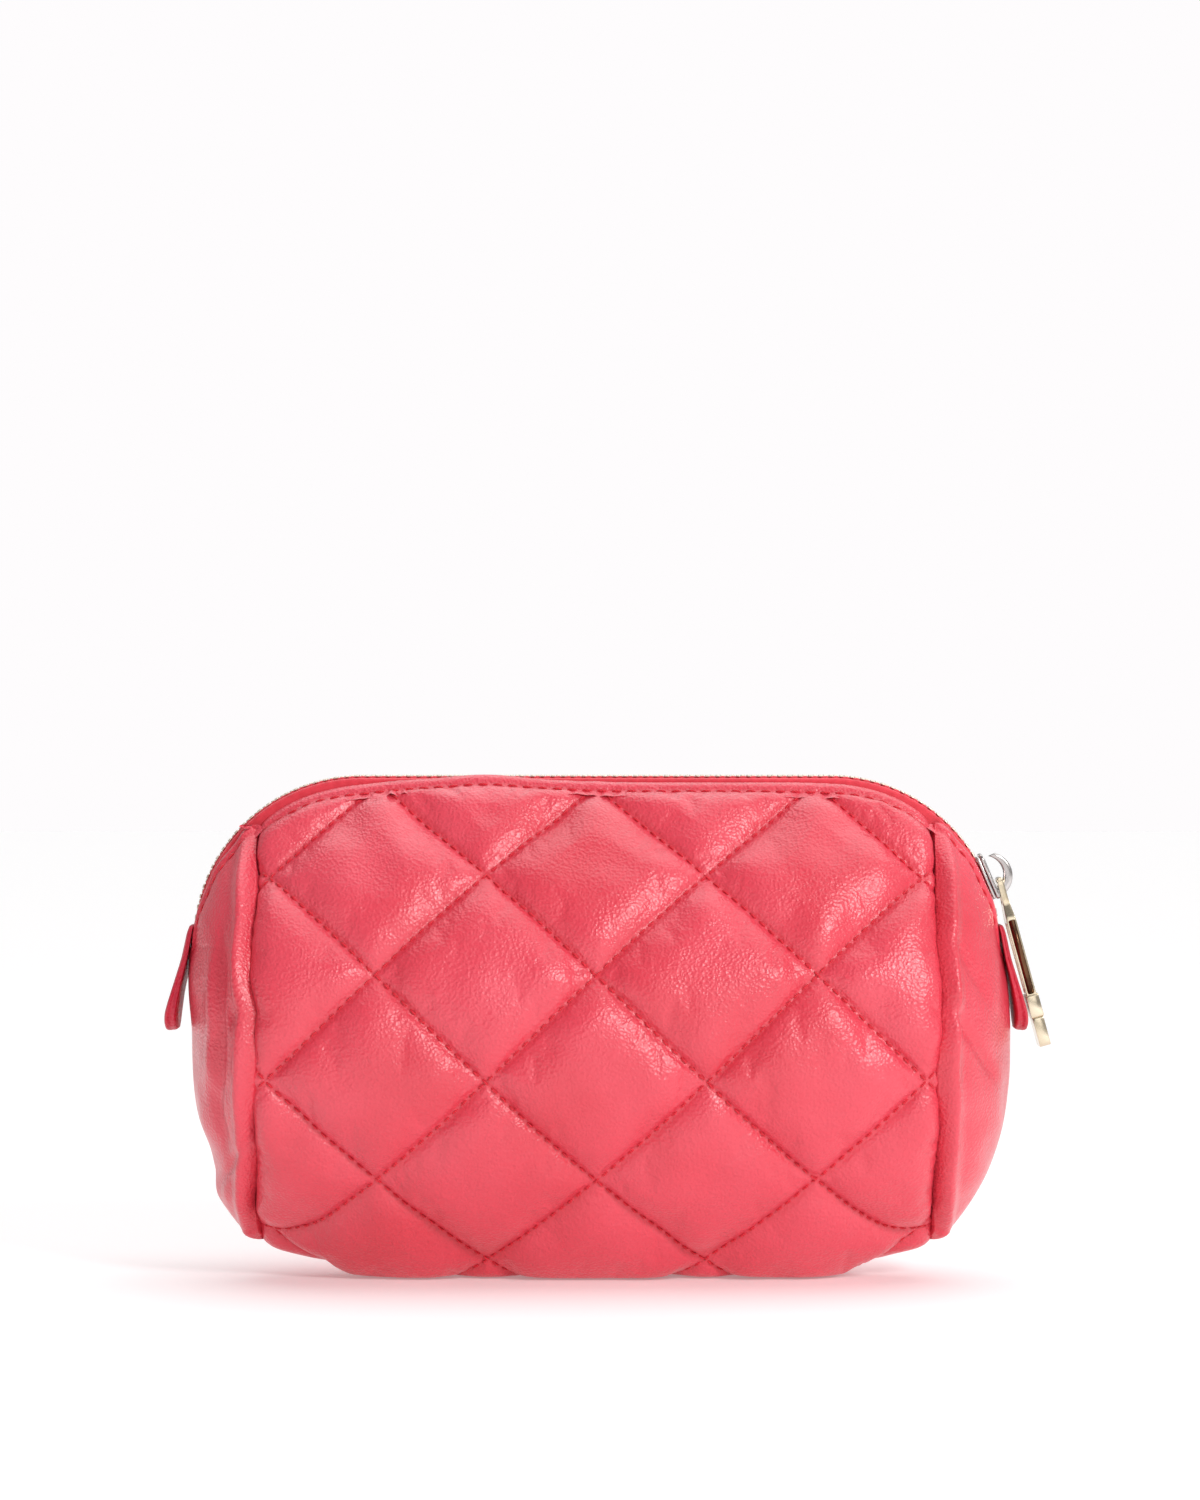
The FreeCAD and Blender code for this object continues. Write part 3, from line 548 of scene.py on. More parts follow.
def panel_relief(grid, row, from_edge):
    """How far the stuffed surface stands off the mean one."""
    x = grid[:, :, 0]
    first, second = line_distances(x, row)
    top = pillow(np.maximum(from_edge - TOPSTITCH, 0), 7.0)
    seam = SEAM - np.abs(x)
    relief = PILLOW_HEIGHT * pillow(first, PILLOW_WIDTH) * pillow(second, PILLOW_WIDTH) * top
    relief *= 0.35 + 0.65 * pillow(seam + 0.6, 6.0)
    relief -= VALLEY_DEPTH * smooth(TOPSTITCH, 15, from_edge)
    relief -= 1.0 * np.exp(-seam / 1.4)
    relief += 0.16 * ripples(x, row * QUILT_DOWN, 17, 3) * smooth(2, 9, from_edge)
    rim = np.clip(from_edge / TOPSTITCH, 0, 1)
    relief += 0.35 * np.sin(math.pi * rim) * (from_edge < TOPSTITCH)
    return relief


def stitch_puckers(x, row, from_edge):
    """Small gathers that run away from each line of stitches."""
    down = row * QUILT_DOWN
    across = (x + down) / math.sqrt(2)
    back = (x - down) / math.sqrt(2)
    first, second = line_distances(x, row)
    uneven = 0.55 + 0.45 * ripples(x, down, 21, 11)
    gathers = np.zeros(x.shape)
    for distance, along, seed in ((first, back, 5), (second, across, 6)):
        wave = np.sin(2 * math.pi * along / 4.1 + 1.7 * ripples(x, down, 12, seed))
        near = np.exp(-distance / 2.6) * (1 - np.exp(-(distance / 0.9) ** 2))
        gathers += wave * near * uneven
    edge = np.exp(-np.abs(from_edge - TOPSTITCH - 1.5) / 2.2)
    gathers += 0.9 * edge * np.sin(2 * math.pi * x / 4.4 + 1.9 * ripples(x, down, 15, 8)) * uneven
    side = SEAM - np.abs(x)
    gathers += 1.1 * np.exp(-side / 3.0) * np.sin(2 * math.pi * down / 6.5 + 2 * ripples(x, down, 20, 9))
    return gathers


BILLOW_SCALE = 10.0      # the cloth is simulated this many times larger
BILLOW_FRAMES = 18
BILLOW_CAP = 0.7         # furthest that a point may move
CLOTH_SETTINGS = {"quality": 4, "mass": 0.2, "tension_stiffness": 12, "compression_stiffness": 12,
                  "shear_stiffness": 4, "bending_stiffness": 1.6, "tension_damping": 12,
                  "compression_damping": 12, "vertex_group_mass": "held", "pin_stiffness": 1.0,
                  "use_pressure": True, "uniform_pressure_force": 2.6, "shrink_min": -0.008}


def billow(grid, row, from_edge):
    """Blows the stuffing up under the leather, held at its stitches, as a cloth simulation."""
    first, second = line_distances(grid[:, :, 0], row)
    held = (np.minimum(first, second) < 0.7) & (from_edge > TOPSTITCH)
    held |= (from_edge < TOPSTITCH + 0.4) | (SEAM - np.abs(grid[:, :, 0]) < 1.0)
    held |= grid[:, :, 2] < 0.8
    piece = make_sheet("billow_draft", grid * BILLOW_SCALE, CORAL)
    if np.sum(outward_normals(grid) * grid_normals(grid)) < 0:
        piece.data.flip_normals()
    group = piece.vertex_groups.new(name="held")
    group.add([int(k) for k in np.flatnonzero(held.ravel())], 1.0, "REPLACE")
    cloth = piece.modifiers.new("cloth", "CLOTH")
    for key, setting in CLOTH_SETTINGS.items():
        setattr(cloth.settings, key, setting)
    cloth.settings.effector_weights.gravity = 0
    cloth.collision_settings.use_collision = False
    cloth.collision_settings.use_self_collision = False
    cloth.point_cache.frame_end = BILLOW_FRAMES
    scene = bpy.context.scene
    for number in range(1, BILLOW_FRAMES + 1):
        scene.frame_set(number)
    apply_modifiers(piece)
    scene.frame_set(1)
    moved = np.zeros(len(piece.data.vertices) * 3)
    piece.data.vertices.foreach_get("co", moved)
    bpy.data.objects.remove(piece)
    shift = moved.reshape(grid.shape) / (BILLOW_SCALE * MM) - grid
    far = np.linalg.norm(shift, axis=2, keepdims=True)
    return grid + shift * np.minimum(1, BILLOW_CAP / np.maximum(far, 1e-6))


PRESSED_BELOW = 1.2      # what comes lower than this is pressed up by the floor


def settle_on_floor(grid):
    """Presses what would be under the floor up against it."""
    z = grid[:, :, 2]
    pressed = PRESSED_BELOW * np.exp(np.minimum(z / PRESSED_BELOW - 1, 0))
    grid[:, :, 2] = np.where(z < PRESSED_BELOW, pressed, z)
    return grid


def roll_rims(grid, radius=0.6, hem=5.0):
    """Adds the turned-in rim along both long edges of the panel."""
    rolled = []
    for edge in (grid, grid[:, ::-1]):
        down = unit(edge[:, 1] - edge[:, 0])
        out = unit(np.cross(np.gradient(edge[:, 0], axis=0), down))
        if out[len(out) // 2, 1] * edge[len(edge) // 2, 0, 1] < 0:
            out = -out
        centre = edge[:, 0] - radius * out
        turns = [centre + radius * (out * math.cos(a) - down * math.sin(a))
                 for a in np.linspace(0, math.pi, 9)[1:]]
        hems = [turns[-1] + down * depth for depth in (hem / 3, 2 * hem / 3, hem)]
        rolled.append(np.stack((turns + hems)[::-1], axis=1))
    return np.concatenate([rolled[0], grid, rolled[1][:, ::-1]], axis=1)


def make_panel():
    grid, row, from_edge = panel_layout()
    grid = grid + outward_normals(grid) * panel_relief(grid, row, from_edge)[:, :, None]
    grid = billow(grid, row, from_edge)
    fine, fine_row, fine_edge = refine(grid), refine(row), refine(from_edge)
    first, second = line_distances(fine[:, :, 0], fine_row)
    nearest = np.minimum(first, second)
    quilted = smooth(TOPSTITCH - 0.5, TOPSTITCH + 0.5, fine_edge)
    crease = np.exp(-(nearest / 0.8) ** 2) * quilted
    crease = np.maximum(crease, 0.8 * hump(fine_edge, TOPSTITCH, 0.7))
    crease = np.maximum(crease, hump(SEAM - np.abs(fine[:, :, 0]), 0, 0.8))
    normals = outward_normals(fine)
    fine = fine - normals * (CREASE_DEPTH * crease)[:, :, None]
    puckers = stitch_puckers(fine[:, :, 0], fine_row, fine_edge)
    fine = fine + normals * (PUCKER_HEIGHT * puckers)[:, :, None]
    near_seam = 1 - smooth(0, 10, SEAM - np.abs(fine[:, :, 0]))
    for left in (True, False):
        there = near_seam * ((fine[:, :, 0] < 0) == left)
        fine[:, :, 0] += there * seam_wander(fine[:, :, 1], fine[:, :, 2], left)
    beside_edge = np.exp(-(fine_edge / 7) ** 2) * (fine[:, :, 1] < 0)
    fine[:, :, 2] += FRONT_LIFT * hump(fine[:, :, 0], -27, 11) * beside_edge
    fine = settle_on_floor(fine)
    turned = outward_normals(fine)
    flanges = [[fine[end] - turned[end] * deep for deep in (0.8, 2.0, 3.2, 4.4)] for end in (0, -1)]
    sewn = np.concatenate([np.stack(flanges[0][::-1]), fine, np.stack(flanges[1])])
    whole = roll_rims(sewn)
    extra = (whole.shape[1] - fine.shape[1]) // 2
    # painted shade for the leather's colour: the creases, and none on the rims and flanges
    painted_valley_shade = np.pad(crease, ((4, 4), (extra, extra)))
    panel = make_sheet("quilted_panel", whole, CORAL, "bag_body")
    add_attribute(panel, "painted_valley_shade", painted_valley_shade)
    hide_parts("quilted_shell", "quilt_wadding")
    return fine, fine_row, fine_edge


# ---------------- stitches

def make_stitches(name, runs, pitch, length, radius=0.33):
    """Short threads along runs of (points, normals), each with its ends pulled into the leather."""
    starts, ends, ups = [], [], []
    for points, normals in runs:
        gone = lengths_to(points)
        count = int(gone[-1] / pitch)
        if count < 1:
            continue
        places = (np.arange(count) + 0.5) * pitch + (gone[-1] - count * pitch) / 2
        for half, found in ((-0.5, starts), (0.5, ends)):
            found.append(along_line(places + half * length, gone, points))
        ups.append(along_line(places, gone, normals))
    start, end, up = (np.concatenate(found) for found in (starts, ends, ups))
    along = unit(end - start)
    up = unit(up - along * np.sum(up * along, axis=1, keepdims=True))
    side = np.cross(along, up)
    shares = np.array([0.0, 0.1, 0.3, 0.5, 0.7, 0.9, 1.0])
    thick = radius * np.array([0.35, 0.8, 1.0, 1.05, 1.0, 0.8, 0.35])
    rise = radius * np.array([-1.2, -0.1, 0.55, 0.7, 0.55, -0.1, -1.2])
    sides = 6
    rings = []
    for share, thickness, lift in zip(shares, thick, rise):
        middle = start + (end - start) * share + up * lift
        for k in range(sides):
            angle = 2 * math.pi * k / sides
            rings.append(middle + thickness * (side * math.cos(angle) + up * math.sin(angle)))
    points = np.stack(rings, axis=1)
    faces = []
    for stitch in range(len(points)):
        faces += tube_faces(len(shares), sides, stitch * sides * len(shares))
    piece = make_object(name, points.reshape(-1, 3), faces, THREAD, "bag_body")


def quilting_runs(grid, row, from_edge):
    """The quilting's slanting lines over the panel, as points and normals."""
    normals = outward_normals(grid)
    columns, steps = grid.shape[:2]
    runs = []
    for family in (1, -1):
        for crossing in range(-14, 28, 2):
            x = np.linspace(-SEAM + 0.8, SEAM - 0.8, 900)
            wanted = family * (crossing - x / QUILT_ACROSS)
            across = (x + SEAM) / (2 * SEAM) * (columns - 1)
            down = np.full(len(x), np.nan)
            nearest = np.clip(across.round().astype(int), 0, columns - 1)
            for k, j in enumerate(nearest):
                if row[j, 0] < wanted[k] < row[j, -1]:
                    down[k] = np.interp(wanted[k], row[j], np.arange(steps))
            inside = np.isfinite(down)
            if inside.sum() < 20:
                continue
            margin = sample(from_edge[:, :, None], across[inside], down[inside])[:, 0]
            kept = np.flatnonzero(inside)[margin > TOPSTITCH + 0.8]
            if len(kept) < 20:
                continue
            for stretch in np.split(kept, np.flatnonzero(np.diff(kept) > 1) + 1):
                if len(stretch) > 12:
                    runs.append((sample(grid, across[stretch], down[stretch]),
                                 sample(normals, across[stretch], down[stretch])))
    return runs


def topstitch_runs(grid, from_edge):
    normals = outward_normals(grid)
    columns, steps = grid.shape[:2]
    across = np.arange(columns, dtype=float)
    runs = []
    for rear in (False, True):
        order = slice(None, None, -1) if rear else slice(None)
        half = from_edge[:, order][:, :steps // 2]
        down = np.array([np.interp(TOPSTITCH, half[j], np.arange(steps // 2)) for j in range(columns)])
        if rear:
            down = steps - 1 - down
        runs.append((sample(grid, across, down), sample(normals, across, down)))
    return runs


# ---------------- end gussets

GUSSET_TIP_REACH = 85.3      # how far out the gusset still is at its lower tip
GUSSET_POWER = 2.9
GUSSET_UPPER_CURVE = 0.0058
SLOT_END = LEVEL + 1.0       # the zip's slot is full width from here up
SLOT_ROUND = 5.0
SEAM_DIP = 2.2
SEAM_RIDGE = 2.0


def gusset_reach(z, left):
    """How far out a gusset is in its middle; the left one has slumped in a little low down."""
    share = np.clip((BULGE_LEVEL - z) / (BULGE_LEVEL - TIP), 0, 1)
    low = REACH - (REACH - GUSSET_TIP_REACH) * share ** GUSSET_POWER
    up = np.maximum(z - LEVEL, 0)
    settled = np.minimum(1.3 * up / ZIP_RADIUS, 1)
    drop = EDGE_DROP_AT_END + ((LEFT_DROP if left else RIGHT_DROP) - EDGE_DROP_AT_END) * settled
    edge = SHOULDER + np.sqrt((ZIP_RADIUS - drop) ** 2 - up ** 2)
    beside = np.minimum((MOUTH / half_depth(-SEAM if left else SEAM, z)) ** 2, 0.93)
    shoulder = SEAM + (edge - SEAM) / (1 - beside)
    high = REACH - GUSSET_UPPER_CURVE * (z - BULGE_LEVEL) ** 2
    reach = np.where(z < BULGE_LEVEL, low, np.where(z < LEVEL, high, shoulder))
    if left:
        reach = reach - 2.4 * smooth(19, 27, z) * (1 - smooth(58, 80, z)) - 1.1 * hump(z, 31.5, 5.5)
    return reach


def end_arc(reach, depth):
    """Centre, radius and half angle of an end's arc at each height."""
    centre = (reach ** 2 - SEAM ** 2 - depth ** 2) / (2 * (reach - SEAM))
    return centre, reach - centre, np.arctan2(depth, SEAM - centre)


def on_arc(end, side, centre, radius, angle, z):
    """A grid of points on the arcs of an end, at angles from its middle."""
    return np.stack([end * (centre[:, None] + radius[:, None] * np.cos(angle)),
                     side * radius[:, None] * np.sin(angle),
                     np.repeat(z[:, None], angle.shape[1], axis=1)], axis=2)


def gusset_folds(side, z, left, front):
    """Soft creases where the leather gives, by distance from the seam and height."""
    if left:
        folds = -1.5 * hump(side + 0.06 * (z - 62), 10.5, 1.9) * smooth(38, 50, z) * (1 - smooth(76, 90, z))
        folds += 0.9 * hump(side + 0.06 * (z - 62), 14.5, 2.8) * smooth(40, 52, z) * (1 - smooth(70, 84, z))
        folds -= 1.3 * hump(side - 0.35 * (z - 40), 12, 2.2) * hump(z, 40, 9)
        folds -= 1.0 * hump(side, 5.5, 2.0) * hump(z, 65, 3)
        folds -= 1.0 * hump(side + 0.9 * (z - 31), 5, 2.0) * hump(z, 31, 6)
        folds += 0.9 * hump(side, 8, 4.0) * hump(z, 22, 6)
    else:
        folds = -1.2 * hump(side + 0.95 * (z - 62), 7, 2.4) * smooth(46, 56, z) * (1 - smooth(68, 76, z))
        folds -= 0.9 * hump(side + 0.8 * (z - 78), 8, 2.2) * hump(z, 76, 8)
        folds += 0.7 * hump(side, 12, 5.0) * hump(z, 33, 9)
    folds += 0.16 * ripples(side, z, 15, 21 + left)
    return folds if front else 0.8 * folds[::-1]


def make_gusset(name, left):
    end = -1.0 if left else 1.0
    levels = 170
    across = 62
    share = np.linspace(0, 1, levels)
    lowest = TIP + 1.2
    highest = float(edge_height(end * SEAM)) - 0.2
    z = lowest + (highest - lowest) * (share + 0.09 * np.sin(2 * math.pi * share) / 2)
    slot = MOUTH * np.sqrt(np.clip(1 - (np.maximum(SLOT_END - z, 0) / SLOT_ROUND) ** 2, 0, 1))
    depth = half_depth(np.full(levels, end * SEAM), z)
    reach = gusset_reach(z, left)
    centre, radius, widest = end_arc(reach, depth)
    slot_angle = np.arcsin(np.clip(slot / radius, 0, 0.999))
    halves = []
    for side in (-1, 1):
        t = np.linspace(0, 1, across)[None, :] ** 1.15
        angle = widest[:, None] + (slot_angle - widest)[:, None] * t
        from_seam = radius[:, None] * (widest[:, None] - angle)
        from_slot = radius[:, None] * (angle - slot_angle[:, None])
        opened = (slot / MOUTH)[:, None]
        out = np.stack([end * np.cos(angle), side * np.sin(angle), np.zeros_like(angle)], axis=2)
        base = on_arc(end, side, centre, radius, angle, z)
        grid = grid_normals(base)
        grid *= np.sign(np.sum(grid * out, axis=2, keepdims=True))
        narrow = smooth(3, 20, radius * (widest - slot_angle))[:, None]
        relief = -SEAM_DIP * np.exp(-(from_seam / 1.4) ** 1.3) * (0.15 + 0.85 * narrow)
        relief += SEAM_RIDGE * hump(from_seam, 3.2, 2.0) * (0.3 + 0.7 * narrow)
        from_middle = radius[:, None] * angle
        relief += gusset_folds(from_seam, z[:, None], left, side < 0) * smooth(1, 11, from_middle)
        stitched = opened * hump(from_slot, TOPSTITCH, 0.75)
        relief -= 0.35 * stitched
        rim = np.clip(from_slot / TOPSTITCH, 0, 1)
        relief += opened * 0.3 * np.sin(math.pi * rim) * (from_slot < TOPSTITCH)
        surface = base + grid * relief[:, :, None]
        beside = (1 - smooth(0, 7, from_seam)) * (0.3 + 0.7 * narrow)
        surface[:, :, 0] += beside * seam_wander(surface[:, :, 1], surface[:, :, 2], left)
        toward = unit(base[:, -1] - base[:, -3])
        roll = 0.6 * opened
        rims = []
        for turn in np.linspace(0, math.pi, 8)[1:]:
            way = toward * math.sin(turn) - grid[:, -1] * (1 - math.cos(turn))
            rims.append(surface[:, -1] + roll * way)
        for back in (1.5, 3.0, 4.5):
            rims.append(surface[:, -1] - roll * 2 * grid[:, -1] - opened * back * toward)
        flanges = []
        for deep in (4.0, 2.8, 1.6, 0.7):
            inwards = np.minimum(deep, 0.8 * np.abs(surface[:, 0, 1]))[:, None]
            flanges.append(surface[:, 0] + inwards * np.array([-0.3 * end, -0.95 * side, 0.0]))
        whole = np.concatenate([np.stack(flanges, axis=1), surface, np.stack(rims, axis=1)], axis=1)
        # painted shade for the leather's colour: the seam's valley and the topstitch line
        painted_valley_shade = np.maximum(hump(from_seam, 0, 1.1), stitched)
        painted_valley_shade = np.pad(painted_valley_shade, ((0, 0), (len(flanges), len(rims))))
        foot = np.array([end * (SEAM - 1.0), 0.0, 0.0])
        below = []
        for fall in (15, 30, 45, 60, 75, 90):
            ring = whole[0].copy()
            ring[:, :2] = foot[:2] + (whole[0][:, :2] - foot[:2]) * math.cos(math.radians(fall))
            ring[:, 2] -= 2.3 * math.sin(math.radians(fall))
            below.append(ring)
        whole = np.concatenate([np.stack(below[::-1]), whole], axis=0)
        # and a faint painted shade under the rounded foot
        painted_valley_shade = np.pad(painted_valley_shade, ((len(below), 0), (0, 0)), constant_values=0.1)
        halves.append((whole, painted_valley_shade, surface, grid, from_slot))
    points = np.concatenate([half[0].reshape(-1, 3) for half in halves])
    painted_valley_shade = np.concatenate([half[1].ravel() for half in halves])
    rows, columns = halves[0][0].shape[:2]
    faces = grid_faces(rows, columns)
    faces += [face[::-1] for face in grid_faces(rows, columns, rows * columns)]
    piece = make_object(name, points, faces, CORAL, "bag_body")
    add_attribute(piece, "painted_valley_shade", painted_valley_shade)
    tidy_normals(piece, 0.02)
    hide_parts(("left" if left else "right") + "_gusset")
    runs = []
    for _, _, surface, normals, from_slot in halves:
        picked = np.flatnonzero(z > SLOT_END + 2)
        places = np.array([np.interp(-TOPSTITCH, -from_slot[k], np.arange(across)) for k in picked])
        inside = from_slot[picked, 0] > TOPSTITCH + 2
        runs.append((sample(surface, picked[inside].astype(float), places[inside]),
                     sample(normals, picked[inside].astype(float), places[inside])))
    return runs


# ---------------- linings


HEM_DEEP = 10.35         # hem of the lining under the teeth's outer face
LINING_GAP = 4.3         # body lining from the panel's mean surface
LINING_LOW = 16.6        # levels that the end linings run between
LINING_TOP = 98.0


def make_lining_sheet(name, grid, node):
    piece = make_sheet(name, grid, LINING, "bag_body")
    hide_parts(node)


def make_linings():
    """Cloth bags hung inside, a little slack: body lining first, then the two ends."""
    columns = np.linspace(-SEAM + 0.4, SEAM - 0.4, 90)
    steps = 80
    grid = np.zeros((90, 2 * steps + 1, 3))
    hem_radius = ZIP_RADIUS - HEM_DEEP
    for j, x in enumerate(columns):
        points, _, _ = half_outline(x, 300)
        hem = LEVEL + math.sqrt(hem_radius ** 2 - max(abs(x) - SHOULDER, 0) ** 2)
        kept = points[points[:, 1] < hem - 2.9]
        below = unit(np.gradient(kept, axis=0))
        inward = np.stack([below[:, 1], -below[:, 0]], axis=1)
        slack = 0.35 * np.sin(kept[:, 1] * 0.31 + x * 0.13) * np.sin(kept[:, 1] * 0.05)
        kept = kept + inward * (LINING_GAP + slack)[:, None]
        kept[:, 0] = np.maximum(kept[:, 0], 0)
        gone = lengths_to(kept)
        rear = along_line(np.linspace(0, gone[-1], steps + 1), gone, kept)
        rear[-1, 0] = 0
        grid[j] = both_halves(x, rear)
    make_lining_sheet("body_lining_cloth", grid, "body_lining")
    for name, end in (("left", -1.0), ("right", 1.0)):
        z = np.linspace(LINING_LOW, LINING_TOP, 60)
        depth = half_depth(np.full(len(z), SEAM), z) - 5.2
        reach = gusset_reach(z, name == "left") - 2.2
        centre, radius, widest = end_arc(reach, depth)
        for part, side in (("front", -1), ("rear", 1)):
            inner = 13.0 * smooth(LEVEL - 8, LEVEL + 1, z)
            slot_angle = np.arcsin(np.clip(inner / radius, 0, 0.99))
            angle = widest[:, None] + np.maximum(slot_angle - widest, -9)[:, None] * np.linspace(0, 1, 24)
            sheet = on_arc(end, side, centre, radius, angle, z)
            make_lining_sheet(f"{name}_{part}_end_lining", sheet, f"{name}_gusset_lining")


# ---------------- the zip

TOOTH_PITCH = 2.5
FIRST_TOOTH = -113.0
LAST_TOOTH = 104.6
TOOTH_HALF = 0.5
CORD_DEEP = 1.3
CORD_LINE = ZIP_RADIUS - CORD_DEEP
CORD_SWELLING = 0.26         # how much thicker the cord is between teeth


def zip_stations(step):
    """Places along the zip as (centre x, angle from the top), and how far along its cord."""
    quarter = math.pi / 2
    count = int(quarter * CORD_LINE / step) + 1
    left = [(-SHOULDER, a) for a in np.linspace(-quarter, 0, count)[:-1]]
    middle = [(x, 0.0) for x in np.linspace(-SHOULDER, SHOULDER, int(2 * SHOULDER / step) + 1)]
    right = [(SHOULDER, a) for a in np.linspace(0, quarter, count)[1:]]
    stations = np.array(left + middle + right)
    along = stations[:, 0] + CORD_LINE * stations[:, 1]
    return stations, along


def sweep_zip(name, profile, stations, growth, node):
    """A closed profile of (out from the middle plane, height over the teeth's face) along the zip."""
    profile = np.asarray(profile, float)
    rings = []
    middle = profile.mean(axis=0)
    for k, (centre, angle) in enumerate(stations):
        shape = middle + (profile - middle) * growth[k]
        radius = ZIP_RADIUS + shape[:, 1]
        rings.append(np.stack([centre + radius * math.sin(angle), shape[:, 0],
                               LEVEL + radius * math.cos(angle)], axis=1))
    faces = tube_faces(len(rings), len(profile))
    piece = make_object(name, np.concatenate(rings), faces, TAPE, "bag_body")
    tidy_normals(piece)
    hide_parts(node)


TAPE_SECTION = [(2.6, -0.95), (3.4, -0.82), (4.4, -0.85), (5.0, -1.05), (5.25, -1.6), (5.25, -3.3),
                (6.6, -5.8), (8.72, -9.6), (8.3, -9.9), (6.1, -6.1), (4.65, -3.6), (4.55, -1.75),
                (3.6, -1.55), (2.6, -1.6)]


def zip_place(along):
    past = max(abs(along) - SHOULDER, 0.0)
    angle = math.copysign(past / CORD_LINE, along)
    x = math.copysign(min(abs(along), SHOULDER), along) + ZIP_RADIUS * math.sin(angle)
    return (x, 0.0, LEVEL + ZIP_RADIUS * math.cos(angle)), angle


def tooth_shape():
    """One tooth for the rear row: jaws round the cord and a rounded head over the middle plane."""
    jaw = TOOTH_OUTER
    outline = [(-0.55, -0.75), (-0.5, -0.3), (-0.25, -0.05), (0.2, 0.0), (2.5, 0.0), (2.95, -0.08),
               (jaw, -0.25), (jaw, -0.45), (1.1, -0.45), (1.0, -0.6), (1.0, -2.0), (1.1, -2.15),
               (jaw, -2.15), (jaw, -2.4), (2.9, -2.6), (-0.2, -2.6), (-0.5, -2.35), (-0.55, -1.9)]
    points = []
    for half in (-TOOTH_HALF, TOOTH_HALF):
        points += [(half, y, n) for y, n in outline]
    draft = make_object("tooth_draft", points, prism_faces(len(outline)), NICKEL)
    bevelled(draft, 0.14, 2)
    count = len(draft.data.vertices)
    made = np.zeros(3 * count)
    draft.data.vertices.foreach_get("co", made)
    tooth_faces = [tuple(face.vertices) for face in draft.data.polygons]
    bpy.data.objects.remove(draft)
    return made.reshape(-1, 3) / MM, tooth_faces


def make_teeth():
    shape, shape_faces = tooth_shape()
    for name, side in (("front", -1), ("rear", 1)):
        parts = []
        along = FIRST_TOOTH + (TOOTH_PITCH / 2 if side > 0 else 0)
        number = 0
        while along <= LAST_TOOTH:
            place, angle = zip_place(along)
            tilt = 0.012 * math.sin(number * 2.4 + side)
            turned = shape * [1, side, 1]
            turned[:, 0] += tilt * turned[:, 1] * 2
            parts.append((placed(turned, place, angle), shape_faces))
            along += TOOTH_PITCH
            number += 1
        piece = make_object(f"{name}_zip_teeth", *merge(parts), TOOTH_NICKEL, "bag_body")
        tidy_normals(piece)
        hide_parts(f"{name}_teeth", f"{name}_shoulder_teeth")


def make_zip():
    stations, along = zip_stations(0.31)
    plain = (along < FIRST_TOOTH) | (along > LAST_TOOTH)
    round_angles = np.linspace(0, 2 * math.pi, 14)[:-1]
    coarse, _ = zip_stations(1.1)
    thick = 0.82 * CORD_RADIUS / 0.8
    for name, side, phase in (("front", -1, 0), ("rear", 1, math.pi)):
        swelling = 0.5 - 0.5 * np.cos(2 * math.pi * (along - FIRST_TOOTH) / TOOTH_PITCH + phase)
        growth = np.where(plain, 1.15, 1.0 + CORD_SWELLING * swelling ** 1.2)
        circle = [(side * (CORD_OFFSET + thick * math.cos(a)), -CORD_DEEP + thick * math.sin(a))
                  for a in round_angles]
        sweep_zip(f"{name}_corded_edge", circle, stations, growth, f"{name}_tape_cord")
        section = [(side * y, n) for y, n in TAPE_SECTION]
        sweep_zip(f"{name}_woven_tape", section, coarse, np.ones(len(coarse)), f"{name}_zip_tape")
    make_teeth()


# ---------------- slider and pull

SLIDER_ANGLE = math.radians(67.0)
SLIDER_PLACE = (SHOULDER + ZIP_RADIUS * math.sin(SLIDER_ANGLE), 0.0,
                LEVEL + ZIP_RADIUS * math.cos(SLIDER_ANGLE))
PULL_TILT = math.radians(15.3)
PULL_PIN = (2.0, 2.75)


def rounded_outline(corners, radius, steps=4):
    """A polygon with its corners rounded."""
    corners = np.asarray(corners, float)
    count = len(corners)
    outline = []
    for k in range(count):
        here, before, after = corners[k], corners[k - 1], corners[(k + 1) % count]
        back = (before - here) / np.linalg.norm(before - here)
        ahead = (after - here) / np.linalg.norm(after - here)
        reach = min(radius, 0.49 * np.linalg.norm(before - here), 0.49 * np.linalg.norm(after - here))
        start, end = here + back * reach, here + ahead * reach
        for t in np.linspace(0, 1, steps + 1):
            outline.append(tuple(start * (1 - t) ** 2 + here * 2 * t * (1 - t) + end * t ** 2))
    return outline


def rounded_box(start, end, half, radius):
    """A rounded rectangle that is even about the X axis."""
    return rounded_outline([(start, -half), (end, -half), (end, half), (start, half)], radius)


def slider_points(points):
    """From the slider's own frame, X along the zip and Z outwards, to the bag's."""
    return placed(points, SLIDER_PLACE, SLIDER_ANGLE)


